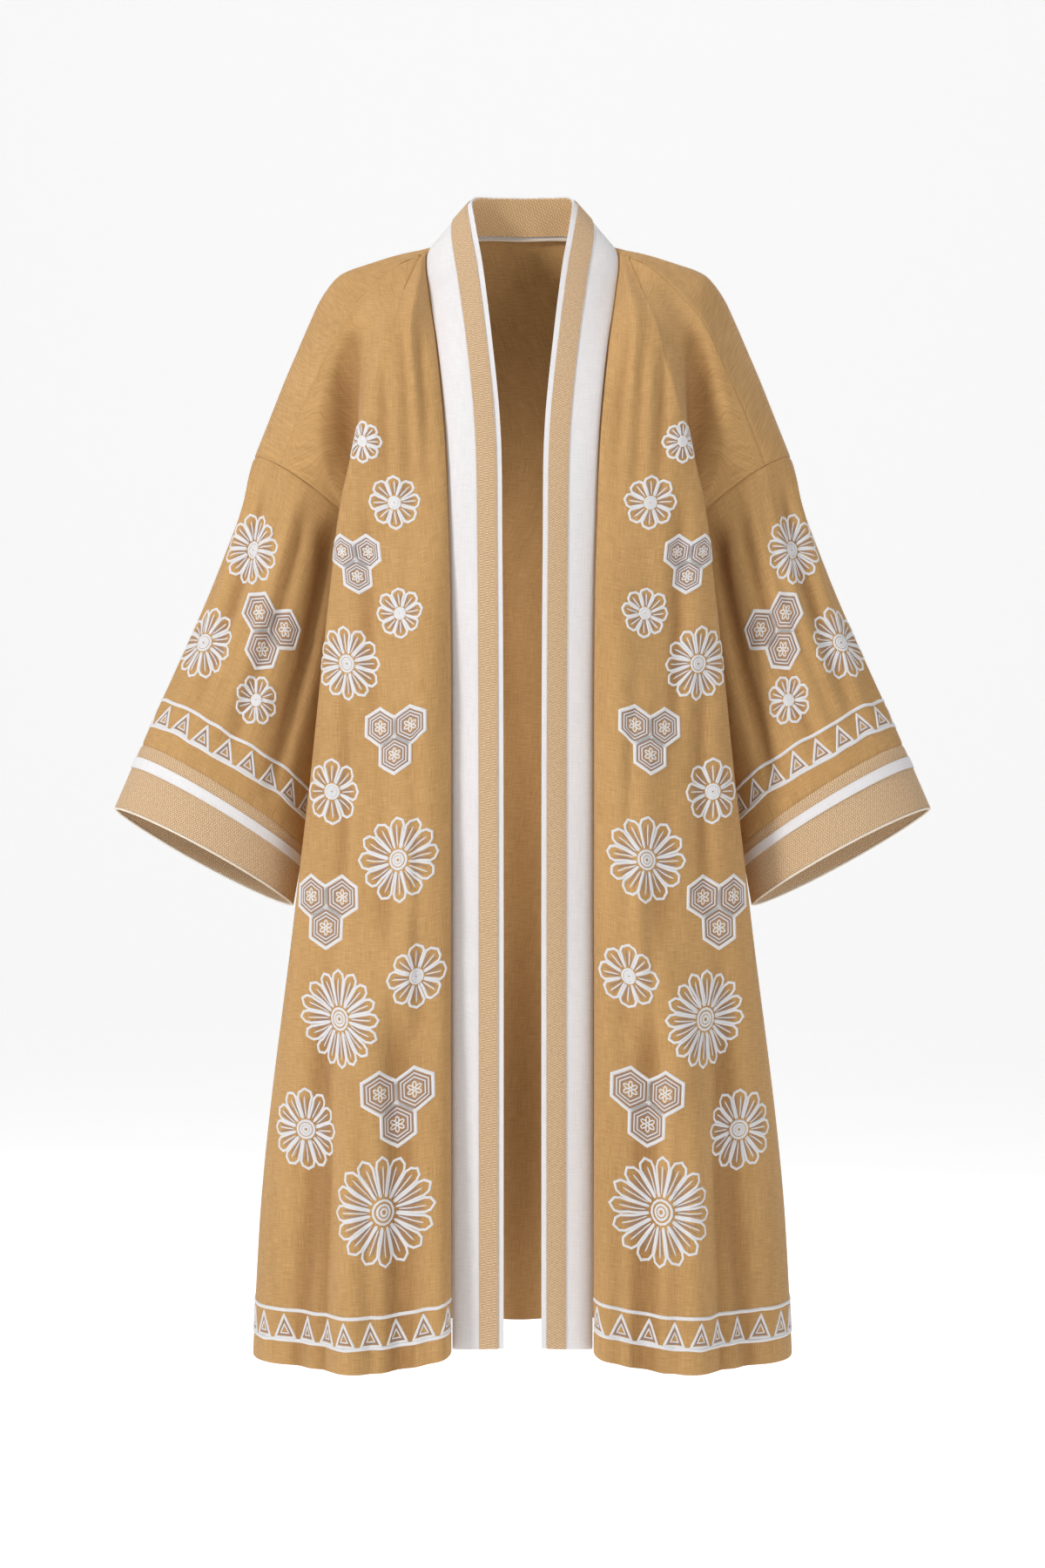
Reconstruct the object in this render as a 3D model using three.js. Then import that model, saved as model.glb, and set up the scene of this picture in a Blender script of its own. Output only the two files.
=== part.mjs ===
// An open kimono robe that keeps the hollow form of a general standing figure.
// Millimetres, +Z up. The front faces -Y and the wearer's left is +X. The origin is the nape, at the foot
// of the collar. Each piece is a wall on a middle surface. Pieces that meet share the points and the normals
// of their seam, and each stops half a seam gap short of it.
import * as THREE from "three";

// Cloth
const CLOTH = 2; // wall of the body and the sleeves
const BAND = 2.4; // wall of the folded collar band and of the cuffs
const TAPE = 1.2; // wall of the woven tapes sewn onto them
const SEAM_GAP = 0.3; // between two pieces at a seam
const LAY_GAP = 0.3; // under a tape that lies on another piece
const PIPING = 1.4; // radius of the piping

// Sizes of the garment
const HEM = -1229; // level of the hem, 1.23 m below the nape
const COLLAR_RISE = 18; // the hem is this much higher at the collar band
const CUFF = 65; // width of the cuff
const CUFF_TAPE = [13, 24]; // the tape on the cuff, from the cuff's seam
const WEBBING = [0.55, 0.905]; // the webbing on the collar band, as shares of its width from the seam
const FACING_START = 0.1; // the facing inside the neck starts at this share of the band's width
const BAND_BOW = 3; // the collar band's bow across its width

const COLOURS = {
  cloth: "#b78c55",
  white: "#e9e4df",
  webbing: "#d3b388",
  facing: "#bd955f",
  cord: "#e6dcc8",
};

const vec = (x, y, z) => new THREE.Vector3(x, y, z);
const mirrored = (p) => vec(-p.x, p.y, p.z);
const clamp = (t) => Math.min(1, Math.max(0, t));
const smooth = (t) => clamp(t) ** 2 * (3 - 2 * clamp(t));
const { lerp, degToRad } = THREE.MathUtils;

// A point of the smooth curve through the given points: at 0 the first, at 1 the second and so on.
function along(points, r) {
  const curve = new THREE.CatmullRomCurve3(points, false, "centripetal");
  return curve.getPoint(clamp(r / (points.length - 1)));
}

// A value between the rows of a list, in straight steps.
function between(list, r) {
  const i = Math.min(list.length - 2, Math.floor(r));
  return lerp(list[i], list[i + 1], r - i);
}

// Collar band: its seam and its free edge, from the centre of the back round the neck and down the front.
const COLLAR = [
  { seamX: 0, seamY: 0, seamZ: 0, edgeX: 0, edgeY: -32, edgeZ: 42 },
  { seamX: 50, seamY: -5, seamZ: 0, edgeX: 32, edgeY: -35, edgeZ: 42 },
  { seamX: 88, seamY: -26, seamZ: -8, edgeX: 54, edgeY: -45, edgeZ: 39 },
  { seamX: 105, seamY: -52, seamZ: -22, edgeX: 53, edgeY: -65, edgeZ: 13 },
  { seamX: 103, seamY: -88, seamZ: -66, edgeX: 45, edgeY: -94, edgeZ: -34 },
  { seamX: 92, seamY: -138, seamZ: -141, edgeX: 34, edgeY: -146, edgeZ: -122 },
  { seamX: 83, seamY: -163, seamZ: -238, edgeX: 23.5, edgeY: -171, edgeZ: -233 },
  { seamX: 79, seamY: -172, seamZ: -360, edgeX: 21.5, edgeY: -184, edgeZ: -360 },
  { seamX: 77.5, seamY: -176, seamZ: -500, edgeX: 20.5, edgeY: -190, edgeZ: -500 },
  { seamX: 77, seamY: -181, seamZ: -740, edgeX: 20, edgeY: -195, edgeZ: -740 },
  { seamX: 76.5, seamY: -186, seamZ: -980, edgeX: 20, edgeY: -199, edgeZ: -980 },
  { seamX: 76, seamY: -190, seamZ: HEM + COLLAR_RISE, edgeX: 20, edgeY: -202, edgeZ: HEM + COLLAR_RISE + 3 },
];
const NECK_SIDE = 3; // the row at the side of the neck, where the shoulder seam starts
const seamPoints = COLLAR.map((c) => vec(c.seamX, c.seamY, c.seamZ));
const edgePoints = COLLAR.map((c) => vec(c.edgeX, c.edgeY, c.edgeZ));
const collarSeam = (r) => along(seamPoints, r);
const collarEdge = (r) => along(edgePoints, r);

// The collar row that lies at a given height in front of the neck.
function collarRowAt(z) {
  let above = NECK_SIDE;
  let below = COLLAR.length - 1;
  for (let i = 0; i < 30; i++) {
    const middle = (above + below) / 2;
    if (collarSeam(middle).z > z) above = middle;
    else below = middle;
  }
  return (above + below) / 2;
}

// Sleeve: its upper outside line, its underarm line and the depth of the tube, from the armhole to the
// opening.
const SLEEVE = [
  { outX: 297, outZ: -253, underX: 170, underZ: -345, midY: -50, depth: 60 },
  { outX: 304, outZ: -270, underX: 186, underZ: -361, midY: -51, depth: 60 },
  { outX: 320, outZ: -322, underX: 198, underZ: -436, midY: -56, depth: 60 },
  { outX: 354.5, outZ: -419, underX: 215, underZ: -533, midY: -64, depth: 61 },
  { outX: 394.5, outZ: -515, underX: 233, underZ: -629, midY: -74, depth: 60 },
  { outX: 446, outZ: -637, underX: 252, underZ: -741, midY: -86, depth: 59 },
];
const SLEEVE_END = SLEEVE.length - 1;
const LAST_SLEEVE_ROW = 119; // length of the last row of the table, along the sleeve
const SLEEVE_TILT = degToRad(14); // the front of each ring is the higher
const OPENING_LENS = 1.25; // the rings sharpen from an oval to a lens by the opening

// A point of the sleeve. Angle 0 is the outside, 90 the front and 180 the underarm.
function sleevePoint(r, angle) {
  const read = (name) => along(SLEEVE.map((row, i) => vec(i, row[name], 0)), r).y;
  const out = vec(read("outX"), read("midY"), read("outZ"));
  const under = vec(read("underX"), read("midY"), read("underZ"));
  const turn = Math.sin(degToRad(angle));
  const forward = read("depth") * Math.sign(turn) * Math.abs(turn) ** lerp(1, OPENING_LENS, r / SLEEVE_END);
  return out
    .clone()
    .add(under)
    .multiplyScalar(0.5)
    .addScaledVector(out.sub(under), Math.cos(degToRad(angle)) / 2)
    .add(vec(0, -forward * Math.cos(SLEEVE_TILT), forward * Math.sin(SLEEVE_TILT)));
}
const sleeveRowBefore = (distance) => SLEEVE_END - distance / LAST_SLEEVE_ROW;

// Shoulder seam: it lies forward of the top of the shoulder, from the side of the neck to the armhole.
const SHOULDER = [
  { x: 142, y: -80, z: -44 },
  { x: 174, y: -99, z: -78 },
  { x: 194, y: -106, z: -102 },
  { x: 216, y: -111, z: -147 },
  { x: 247, y: -109, z: -216 },
];
const SHOULDER_TIP = 60; // angle on the armhole where the seam ends
const SHOULDER_SHARES = { fold: 0.055, crease: 0.42, arm: 0.7 }; // where the front's columns leave the seam
const shoulderPoints = [
  collarSeam(NECK_SIDE),
  ...SHOULDER.map((p) => vec(p.x, p.y, p.z)),
  sleevePoint(0, SHOULDER_TIP),
];
const shoulderSeam = (share) => along(shoulderPoints, share * (shoulderPoints.length - 1));

// The front above the underarm, each row from the collar seam to the armhole. Beside the collar the cloth
// stands forward as a fold. The corner is the long fold from the neck to the underarm, with the crease
// behind it.
const FRONT_YOKE = [
  {
    collarZ: -100, fold: 3, overhang: 5, frontY: -143, armhole: 88,
    corner: [148, -142, -120], crease: [186, -113, -142], arm: [221, -120, -206],
  },
  {
    collarZ: -190, fold: 5, overhang: 4, frontY: -172, armhole: 115,
    corner: [172, -156, -215], crease: [181, -108, -228], arm: [209, -112, -275],
  },
  {
    collarZ: -290, fold: 7, overhang: 3, frontY: -180, armhole: 150,
    corner: [195, -153, -310], crease: [173, -110, -318], arm: [180, -99, -328],
  },
];

// The back above the underarm, each row from the centre to the armhole. The first is the top of the
// shoulder.
const BACK_YOKE = [
  {
    armhole: 5, centre: [0, 7, -15], neck: [66, -4, -12], blade: [120, -36, -20],
    shoulder: [163, -47, -33], crease: [207, -49, -52], arm: [247, -52, -129],
  },
  {
    armhole: -50, centre: [0, 24, -80], neck: [62, 22, -76], blade: [118, 13, -66],
    shoulder: [166, 4, -76], crease: [207, -3, -100], arm: [249, -10, -172],
  },
  {
    armhole: -95, centre: [0, 36, -170], neck: [65, 38, -168], blade: [125, 36, -166],
    shoulder: [178, 26, -178], crease: [203, 9, -196], arm: [228, 5, -240],
  },
  {
    armhole: -140, centre: [0, 40, -280], neck: [68, 44, -278], blade: [132, 44, -278],
    shoulder: [185, 34, -286], crease: [189, 20, -312], arm: [187, 6, -340],
  },
];

// Levels below the underarm. The front turns in at its corner towards the side seam, and so does the back.
const LEVELS = [
  {
    z: -380, fold: 9, overhang: 2.8, frontY: -182, cornerX: 204, cornerY: -147, turnX: 178, turnY: -106,
    sideX: 170, sideY: -50, backX: 190, backY: 46, backCornerY: 32,
  },
  {
    z: -480, fold: 11, overhang: 3, frontY: -188, cornerX: 215, cornerY: -147, turnX: 191, turnY: -102,
    sideX: 179, sideY: -47, backX: 194, backY: 54, backCornerY: 33,
  },
  {
    z: -600, fold: 14, overhang: 3.5, frontY: -196, cornerX: 227, cornerY: -147, turnX: 210, turnY: -102,
    sideX: 200, sideY: -46, backX: 203, backY: 64, backCornerY: 39,
  },
  {
    z: -740, fold: 19, overhang: 4.2, frontY: -204, cornerX: 243, cornerY: -146, turnX: 236, turnY: -102,
    sideX: 231, sideY: -46, backX: 216, backY: 75, backCornerY: 46,
  },
  {
    z: -900, fold: 25, overhang: 5, frontY: -213, cornerX: 260, cornerY: -144, turnX: 265.5, turnY: -88,
    sideX: 260, sideY: -38, backX: 230, backY: 87, backCornerY: 54,
  },
  {
    z: -1070, fold: 30, overhang: 5.7, frontY: -221, cornerX: 276, cornerY: -146, turnX: 285, turnY: -80,
    sideX: 280, sideY: -30, backX: 242, backY: 98, backCornerY: 62,
  },
  {
    z: HEM, fold: 35, overhang: 6.4, frontY: -228, cornerX: 282, cornerY: -154, turnX: 294, turnY: -84,
    sideX: 290, sideY: -26, backX: 248, backY: 106, backCornerY: 70,
  },
];
const YOKE_ROWS = FRONT_YOKE.length + 1;
const BACK_YOKE_ROWS = BACK_YOKE.length + 1;

// Side seam, from the underarm at 0 to the hem.
const sidePoints = [
  sleevePoint(0, 180),
  ...LEVELS.slice(1).map((level) => vec(level.sideX, level.sideY, level.z)),
];
const sideSeam = (r) => along(sidePoints, r);

// The point between a turn and the side seam. At the underarm it hangs below the armhole.
const beforeSide = (turn, side) => turn.clone().lerp(side, 0.5).setZ(lerp(turn.z, side.z, 0.2));

const frontCollarRows = [
  NECK_SIDE,
  ...FRONT_YOKE.map((yoke) => collarRowAt(yoke.collarZ)),
  ...LEVELS.map((level) => collarRowAt(Math.max(level.z, HEM + COLLAR_RISE))),
];

// The collar seam and the ridge of the fold beside it, at a row of the front.
const foldDepths = [0, ...FRONT_YOKE.map((yoke) => yoke.fold), ...LEVELS.map((level) => level.fold)];
const overhangs = [3, ...FRONT_YOKE.map((yoke) => yoke.overhang), ...LEVELS.map((level) => level.overhang)];
function collarFold(r) {
  const seamRow = between(frontCollarRows, r);
  const seam = collarSeam(seamRow);
  const line = collarSeam(seamRow - 0.1).sub(seam).setX(0).normalize();
  const fold = between(foldDepths, r);
  const drop = r > frontCollarRows.length - 2 ? COLLAR_RISE * 0.3 * (r - frontCollarRows.length + 2) : 0;
  return [seam, seam.clone().add(vec(between(overhangs, r), -line.z * fold, line.y * fold - drop))];
}

// A row of the front: eight points from the collar seam to the outer edge.
function frontRow(r) {
  if (r === 0) {
    const { fold, crease, arm } = SHOULDER_SHARES;
    const inner = [0, 0.2, 0.5, 0.8, 1].map((t) => shoulderSeam(0).lerp(shoulderSeam(fold), t));
    return [...inner, ...[crease, arm, 1].map(shoulderSeam)];
  }
  const yoke = FRONT_YOKE[r - 1];
  const level = LEVELS[r - YOKE_ROWS];
  const { frontY } = yoke ?? level;
  const [seam, ridge] = collarFold(r);
  const corner = yoke ? vec(...yoke.corner) : vec(level.cornerX, level.cornerY, level.z);
  const chest = [0.33, 0.74].map((share) => {
    const x = lerp(ridge.x, corner.x, share);
    return vec(x, lerp(frontY, corner.y, share ** 4), yoke ? lerp(ridge.z, corner.z, share) : level.z);
  });
  const inner = [seam, ridge, ...chest, corner];
  if (yoke) return [...inner, vec(...yoke.crease), vec(...yoke.arm), sleevePoint(0, yoke.armhole)];
  const turn = vec(level.turnX, level.turnY, level.z);
  const side = sideSeam(r - YOKE_ROWS);
  return [...inner, turn, beforeSide(turn, side), side];
}

// A row of the back's left half: seven points from the centre to the outer edge.
function backHalfRow(r) {
  if (r === 0) {
    const { crease, arm } = SHOULDER_SHARES;
    return [...[0, NECK_SIDE / 2, NECK_SIDE].map(collarSeam), ...[0.16, crease, arm, 1].map(shoulderSeam)];
  }
  const yoke = BACK_YOKE[r - 1];
  if (yoke) {
    const { centre, neck, blade, shoulder, crease, arm } = yoke;
    const inner = [centre, neck, blade, shoulder, crease, arm].map((p) => vec(...p));
    return [...inner, sleevePoint(0, yoke.armhole)];
  }
  const level = LEVELS[r - BACK_YOKE_ROWS];
  const side = sideSeam(r - BACK_YOKE_ROWS);
  const corner = vec(level.backX, level.backCornerY, level.z);
  const across = (share) => vec(corner.x * share, lerp(level.backY, corner.y, share ** 4), level.z);
  const turn = vec(lerp(side.x, corner.x, 0.42) + 3, lerp(side.y, corner.y, 0.6), level.z);
  return [across(0), across(0.35), across(0.72), corner, turn, beforeSide(turn, side), side];
}

// A whole row of the back, from its right edge to its left edge.
function backRow(r) {
  const half = backHalfRow(r);
  return [...half.slice(1).map(mirrored).reverse(), ...half];
}

// Folds of the cloth. Each path gives heights and places across, and a sunk fold has a positive depth.
// The front has a long sunk fold and a roll beside it.
const FRONT_FOLDS = [
  { path: [[-280, 97], [-720, 116], [-930, 158], [HEM, 168]], depth: 15, width: 25, fade: 260 },
  { path: [[-620, 178], [-900, 205], [HEM, 222]], depth: -5, width: 34, fade: 200 },
];
const BACK_FOLDS = [
  { path: [[-150, 104], [-600, 122], [-880, 146], [HEM, 152]], depth: 15, width: 30, fade: 260 },
  { path: [[-190, -110], [-640, -118], [-900, -138], [HEM, -150]], depth: 13, width: 28, fade: 260 },
  { path: [[-420, 8], [-800, 2], [HEM, -4]], depth: 17, width: 42, fade: 320 },
  { path: [[-520, 205], [HEM, 222]], depth: 6, width: 26, fade: 240 },
  { path: [[-560, -200], [HEM, -216]], depth: 7, width: 24, fade: 240 },
];
// Folds of the sleeve, by the angle they lie at beside the armhole and beside the cuff.
const SLEEVE_FOLDS = [
  { top: 62, foot: 48, depth: 6, width: 15 },
  { top: 128, foot: 118, depth: 7, width: 16 },
  { top: -70, foot: -62, depth: 7, width: 18 },
  { top: -125, foot: -132, depth: 6, width: 15 },
];
const FOLD_MARGIN = 22; // folds fade out this far from a seam

// A fold's place across at a given height.
function foldPlace(path, z) {
  const next = path.findIndex(([height]) => height <= z);
  if (next === 0) return path[0][1];
  if (next < 0) return path[path.length - 1][1];
  const [topZ, topX] = path[next - 1];
  const [lowZ, lowX] = path[next];
  return lerp(topX, lowX, smooth((topZ - z) / (topZ - lowZ)));
}

// Normals of a grid of points. They point out of the garment.
function normalsOf(points, closed) {
  const last = points[0].length - 1;
  return points.map((row, i) =>
    row.map((_, j) => {
      const before = row[closed ? (j + last) % (last + 1) : Math.max(0, j - 1)];
      const after = row[closed ? (j + 1) % (last + 1) : Math.min(last, j + 1)];
      const above = points[Math.max(0, i - 1)][j];
      const below = points[Math.min(points.length - 1, i + 1)][j];
      return after.clone().sub(before).cross(below.clone().sub(above)).normalize();
    }),
  );
}

// Lengths along a row from its start.
function rowLengths(row) {
  const lengths = [0];
  for (let j = 1; j < row.length; j++) lengths.push(lengths[j - 1] + row[j].distanceTo(row[j - 1]));
  return lengths;
}

// Sinks and raises the folds of a body panel.
function foldPanel(points, folds) {
  const normals = normalsOf(points, false);
  return points.map((row, i) => {
    const lengths = rowLengths(row);
    return row.map((point, j) => {
      const margin = Math.min(lengths[j], lengths[row.length - 1] - lengths[j]);
      let sunk = 0;
      for (const { path, depth, width, fade } of folds) {
        const aside = (point.x - foldPlace(path, point.z)) / width;
        sunk += depth * smooth((path[0][0] - point.z) / fade) * Math.exp(-(aside ** 2));
      }
      return point.clone().addScaledVector(normals[i][j], -sunk * smooth(margin / FOLD_MARGIN));
    });
  });
}

// Places along a table: the whole numbers, and between them the given numbers of steps.
function stepsOf(counts) {
  const places = counts.flatMap((count, i) => Array.from({ length: count }, (_, k) => i + k / count));
  return [...places, counts.length];
}

// Grid of points: the table rows are joined smoothly downwards, and then each row across. The top seam bends
// more finely than the table does, and what it differs by fades out over the first row.
function gridOf({ rowAt, rows, down, across, firstGuides, lastGuide, top }) {
  const table = Array.from({ length: rows }, (_, r) => rowAt(r));
  const joined = (r) => {
    const guides = table[0].map((_, c) => along(table.map((row) => row[c]), r));
    const start = firstGuides(r);
    const all = [...start, ...guides.slice(start.length, -1), lastGuide(r)];
    return stepsOf(across).map((c) => along(all, c));
  };
  const tableTop = joined(0);
  return stepsOf(down).map((r) => {
    if (r === 0) return top;
    const offset = (j) => top[j].clone().sub(tableTop[j]);
    return joined(r).map((point, j) => point.addScaledVector(offset(j), clamp(1 - r)));
  });
}

// Steps between the rows and the columns of the tables
const ARMHOLE_STEP = 3;
const LEVEL_STEPS = [2, 3, 3, 3, 3, 2];
const FRONT_DOWN = [...Array(YOKE_ROWS).fill(ARMHOLE_STEP), ...LEVEL_STEPS];
const BACK_DOWN = [...Array(BACK_YOKE_ROWS).fill(ARMHOLE_STEP), ...LEVEL_STEPS];
const FRONT_ACROSS = [2, 3, 3, 2, 4, 3, 3];
const BACK_HALF_ACROSS = [4, 4, 2, 3, 3, 3];
const NECK_STEPS = 8; // on the seam from the centre of the back to the side of the neck

// Shared points of the shoulder seam. The front has more of them in its first, straight part than the back.
const foldColumns = FRONT_ACROSS.slice(0, 4).reduce((sum, count) => sum + count, 0);
const { fold: foldShare, crease: creaseShare, arm: armShare } = SHOULDER_SHARES;
const outerShoulder = stepsOf(FRONT_ACROSS.slice(4)).map((c) =>
  shoulderSeam(between([foldShare, creaseShare, armShare, 1], c)),
);
const frontTop = [
  ...Array.from({ length: foldColumns }, (_, k) => shoulderSeam(0).lerp(outerShoulder[0], k / foldColumns)),
  ...outerShoulder,
];
const neckRows = Array.from({ length: NECK_STEPS + 1 }, (_, k) => (NECK_SIDE * k) / NECK_STEPS);
const backHalfTop = [...neckRows.map(collarSeam), ...outerShoulder];

// Angles at which the rows of the front and of the back meet the armhole
const frontAngle = (r) => between([SHOULDER_TIP, ...FRONT_YOKE.map((yoke) => yoke.armhole), 180], r);
const backAngle = (r) => between([SHOULDER_TIP, ...BACK_YOKE.map((yoke) => yoke.armhole), -180], r);
const frontCollarRow = (r) => between(frontCollarRows, r);

const frontLeft = foldPanel(
  gridOf({
    rowAt: frontRow,
    rows: YOKE_ROWS + LEVELS.length,
    down: FRONT_DOWN,
    across: FRONT_ACROSS,
    top: frontTop,
    firstGuides: collarFold,
    lastGuide: (r) => (r < YOKE_ROWS ? sleevePoint(0, frontAngle(r)) : sideSeam(r - YOKE_ROWS)),
  }),
  FRONT_FOLDS,
).map((row) => row.reverse());

const backEdge = (r) => (r < BACK_YOKE_ROWS ? sleevePoint(0, backAngle(r)) : sideSeam(r - BACK_YOKE_ROWS));
const back = foldPanel(
  gridOf({
    rowAt: backRow,
    rows: BACK_YOKE_ROWS + LEVELS.length,
    down: BACK_DOWN,
    across: [...BACK_HALF_ACROSS].reverse().concat(BACK_HALF_ACROSS),
    top: [...backHalfTop.slice(1).map(mirrored).reverse(), ...backHalfTop],
    firstGuides: (r) => [mirrored(backEdge(r))],
    lastGuide: backEdge,
  }),
  BACK_FOLDS,
);

// The sleeve's rings have the points of the armhole: those of the back from the underarm up, then those of
// the front.
const ringAngles = [
  ...stepsOf(Array(BACK_YOKE_ROWS).fill(ARMHOLE_STEP)).map(backAngle).reverse(),
  ...stepsOf(Array(YOKE_ROWS).fill(ARMHOLE_STEP)).map(frontAngle).slice(1, -1),
];
const sleeveRing = (r) => ringAngles.map((angle) => sleevePoint(r, angle));
const SLEEVE_STEPS = 8;
const cuffSeamRow = sleeveRowBefore(CUFF);
const sleeveRows = Array.from({ length: SLEEVE_STEPS + 1 }, (_, k) => (cuffSeamRow * k) / SLEEVE_STEPS);

// Sinks the folds of a sleeve, which fade out at its two seams.
function foldSleeve(points) {
  const normals = normalsOf(points, true);
  return points.map((row, i) => {
    const share = i / SLEEVE_STEPS;
    const strength = smooth(share * 3) * smooth((1 - share) * 3);
    return row.map((point, j) => {
      let sunk = 0;
      for (const { top, foot, depth, width } of SLEEVE_FOLDS) {
        const aside = (ringAngles[j] - lerp(top, foot, share)) / width;
        sunk += depth * strength * Math.exp(-(aside ** 2));
      }
      return point.clone().addScaledVector(normals[i][j], -sunk);
    });
  });
}
const sleeveLeft = foldSleeve(sleeveRows.map(sleeveRing));
const cuffLeft = [0, ...CUFF_TAPE, 44, CUFF].map((distance) =>
  sleeveRing(lerp(cuffSeamRow, SLEEVE_END, distance / CUFF)),
);

// Collar band, from the right hem round the neck to the left hem, with columns from its seam to its edge.
const bandShares = [0, FACING_START, ...WEBBING, 1];
const bandHalfRows = [...neckRows, ...stepsOf(FRONT_DOWN).slice(1).map(frontCollarRow)];
function bandRow(r) {
  const seam = collarSeam(r);
  const edge = collarEdge(r);
  const line = collarSeam(r + 0.01).sub(collarSeam(r - 0.01));
  const bow = edge.clone().sub(seam).cross(line).normalize();
  if (r === 0) bow.setX(0).normalize();
  return bandShares.map((share) =>
    seam.clone().lerp(edge, share).addScaledVector(bow, BAND_BOW * 4 * share * (1 - share)),
  );
}
const bandHalf = bandHalfRows.map(bandRow);
const band = [...bandHalf.slice(1).map((row) => row.map(mirrored)).reverse(), ...bandHalf];

// Pieces that are sewn together, with the edges that are seams
const mirrorPanel = (points) => points.map((row) => row.map(mirrored).reverse());
const sewn = {
  front_left: { points: frontLeft, seams: ["top", "first", "last"] },
  front_right: { points: mirrorPanel(frontLeft), seams: ["top", "first", "last"] },
  back: { points: back, seams: ["top", "first", "last"] },
  sleeve_left: { points: sleeveLeft, closed: true, seams: ["top", "foot"] },
  sleeve_right: { points: mirrorPanel(sleeveLeft), closed: true, seams: ["top", "foot"] },
  cuff_left: { points: cuffLeft, closed: true, seams: ["top"] },
  cuff_right: { points: mirrorPanel(cuffLeft), closed: true, seams: ["top"] },
  collar_band: { points: band, seams: ["first"] },
};

// The two neighbours of a point along the edge of its panel, or none for a point inside.
function edgeNeighbours({ points, closed }, i, j) {
  const columns = points[0].length;
  const beside = closed ? [(j + columns - 1) % columns, (j + 1) % columns] : [j - 1, j + 1];
  const sideways = i === 0 || i === points.length - 1 ? beside.map((column) => points[i][column]) : [];
  const upright = !closed && (j === 0 || j === columns - 1) ? [points[i - 1]?.[j], points[i + 1]?.[j]] : [];
  return [...sideways, ...upright].filter(Boolean);
}

// Where pieces share a point on their edges they take the same normal, the mean of theirs weighed by their
// angles.
function shareNormals(panels) {
  const sums = new Map();
  const keyOf = (p) => [p.x, p.y, p.z].map((value) => Math.round(value * 500)).join();
  const visitEdges = (panel, visit) =>
    panel.points.forEach((row, i) =>
      row.forEach((point, j) => {
        const ways = edgeNeighbours(panel, i, j).map((neighbour) => neighbour.clone().sub(point));
        if (ways.length) visit(keyOf(point), i, j, ways[0].angleTo(ways[1]));
      }),
    );
  for (const panel of panels) {
    panel.normals = normalsOf(panel.points, panel.closed);
    visitEdges(panel, (key, i, j, angle) => {
      sums.set(key, (sums.get(key) ?? vec(0, 0, 0)).clone().addScaledVector(panel.normals[i][j], angle));
    });
  }
  for (const panel of panels) {
    visitEdges(panel, (key, i, j) => {
      panel.normals[i][j] = sums.get(key).clone().normalize();
    });
  }
}

// Moves a panel's edges back from its seams, square to the seam and along the cloth.
function cutBack({ points, normals, closed, seams }) {
  const lastRow = points.length - 1;
  const lastColumn = points[0].length - 1;
  const at = (i, j) => {
    const column = closed ? (j + lastColumn + 1) % (lastColumn + 1) : Math.min(lastColumn, Math.max(0, j));
    return points[Math.min(lastRow, Math.max(0, i))][column];
  };
  return points.map((row, i) =>
    row.map((point, j) => {
      const inward = (tangent, inner) => {
        const way = tangent.cross(normals[i][j]).normalize();
        return way.dot(inner.clone().sub(point)) < 0 ? way.negate() : way;
      };
      const alongRow = () => at(i, j + 1).clone().sub(at(i, j - 1));
      const alongColumn = () => at(i + 1, j).clone().sub(at(i - 1, j));
      const ways = [];
      const isAt = (seam, edge) => seams.includes(seam) && edge;
      if (isAt("top", i === 0)) ways.push(inward(alongRow(), at(1, j)));
      if (isAt("foot", i === lastRow)) ways.push(inward(alongRow(), at(lastRow - 1, j)));
      if (isAt("first", j === 0)) ways.push(inward(alongColumn(), at(i, 1)));
      if (isAt("last", j === lastColumn)) ways.push(inward(alongColumn(), at(i, lastColumn - 1)));
      const spread = ways.length === 2 ? 1 + Math.max(-0.5, ways[0].dot(ways[1])) : 1;
      return ways.reduce((moved, way) => moved.addScaledVector(way, SEAM_GAP / 2 / spread), point.clone());
    }),
  );
}

// A closed wall between two offsets of a grid of points. Negative offsets are inside the garment.
function wall(points, normals, inner, outer, closed = false) {
  const rows = points.length;
  const columns = points[0].length;
  const layer = (offset) =>
    points.flatMap((row, i) => row.map((point, j) => point.clone().addScaledVector(normals[i][j], offset)));
  const under = rows * columns;
  const index = (i, j) => i * columns + (j % columns);
  const faces = [];
  const quad = (a, b, c, d) => faces.push(a, b, c, a, c, d);
  const heights = points.flat().map((point) => point.z);
  const rim = (a, b) => {
    if (heights[a] > heights[b]) quad(a, a + under, b + under, b);
    else quad(b, a, a + under, b + under);
  };
  const span = closed ? columns : columns - 1;
  for (let i = 0; i < rows - 1; i++) {
    for (let j = 0; j < span; j++) {
      const [a, b, c, d] = [index(i, j), index(i, j + 1), index(i + 1, j + 1), index(i + 1, j)];
      quad(a, d, c, b);
      faces.push(a + under, b + under, c + under, a + under, c + under, d + under);
    }
  }
  for (let j = 0; j < span; j++) {
    rim(index(0, j + 1), index(0, j));
    rim(index(rows - 1, j), index(rows - 1, j + 1));
  }
  for (let i = 0; i < rows - 1 && !closed; i++) {
    rim(index(i, 0), index(i + 1, 0));
    rim(index(i + 1, columns - 1), index(i, columns - 1));
  }
  return geometryOf([...layer(outer), ...layer(inner)], faces);
}

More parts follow.
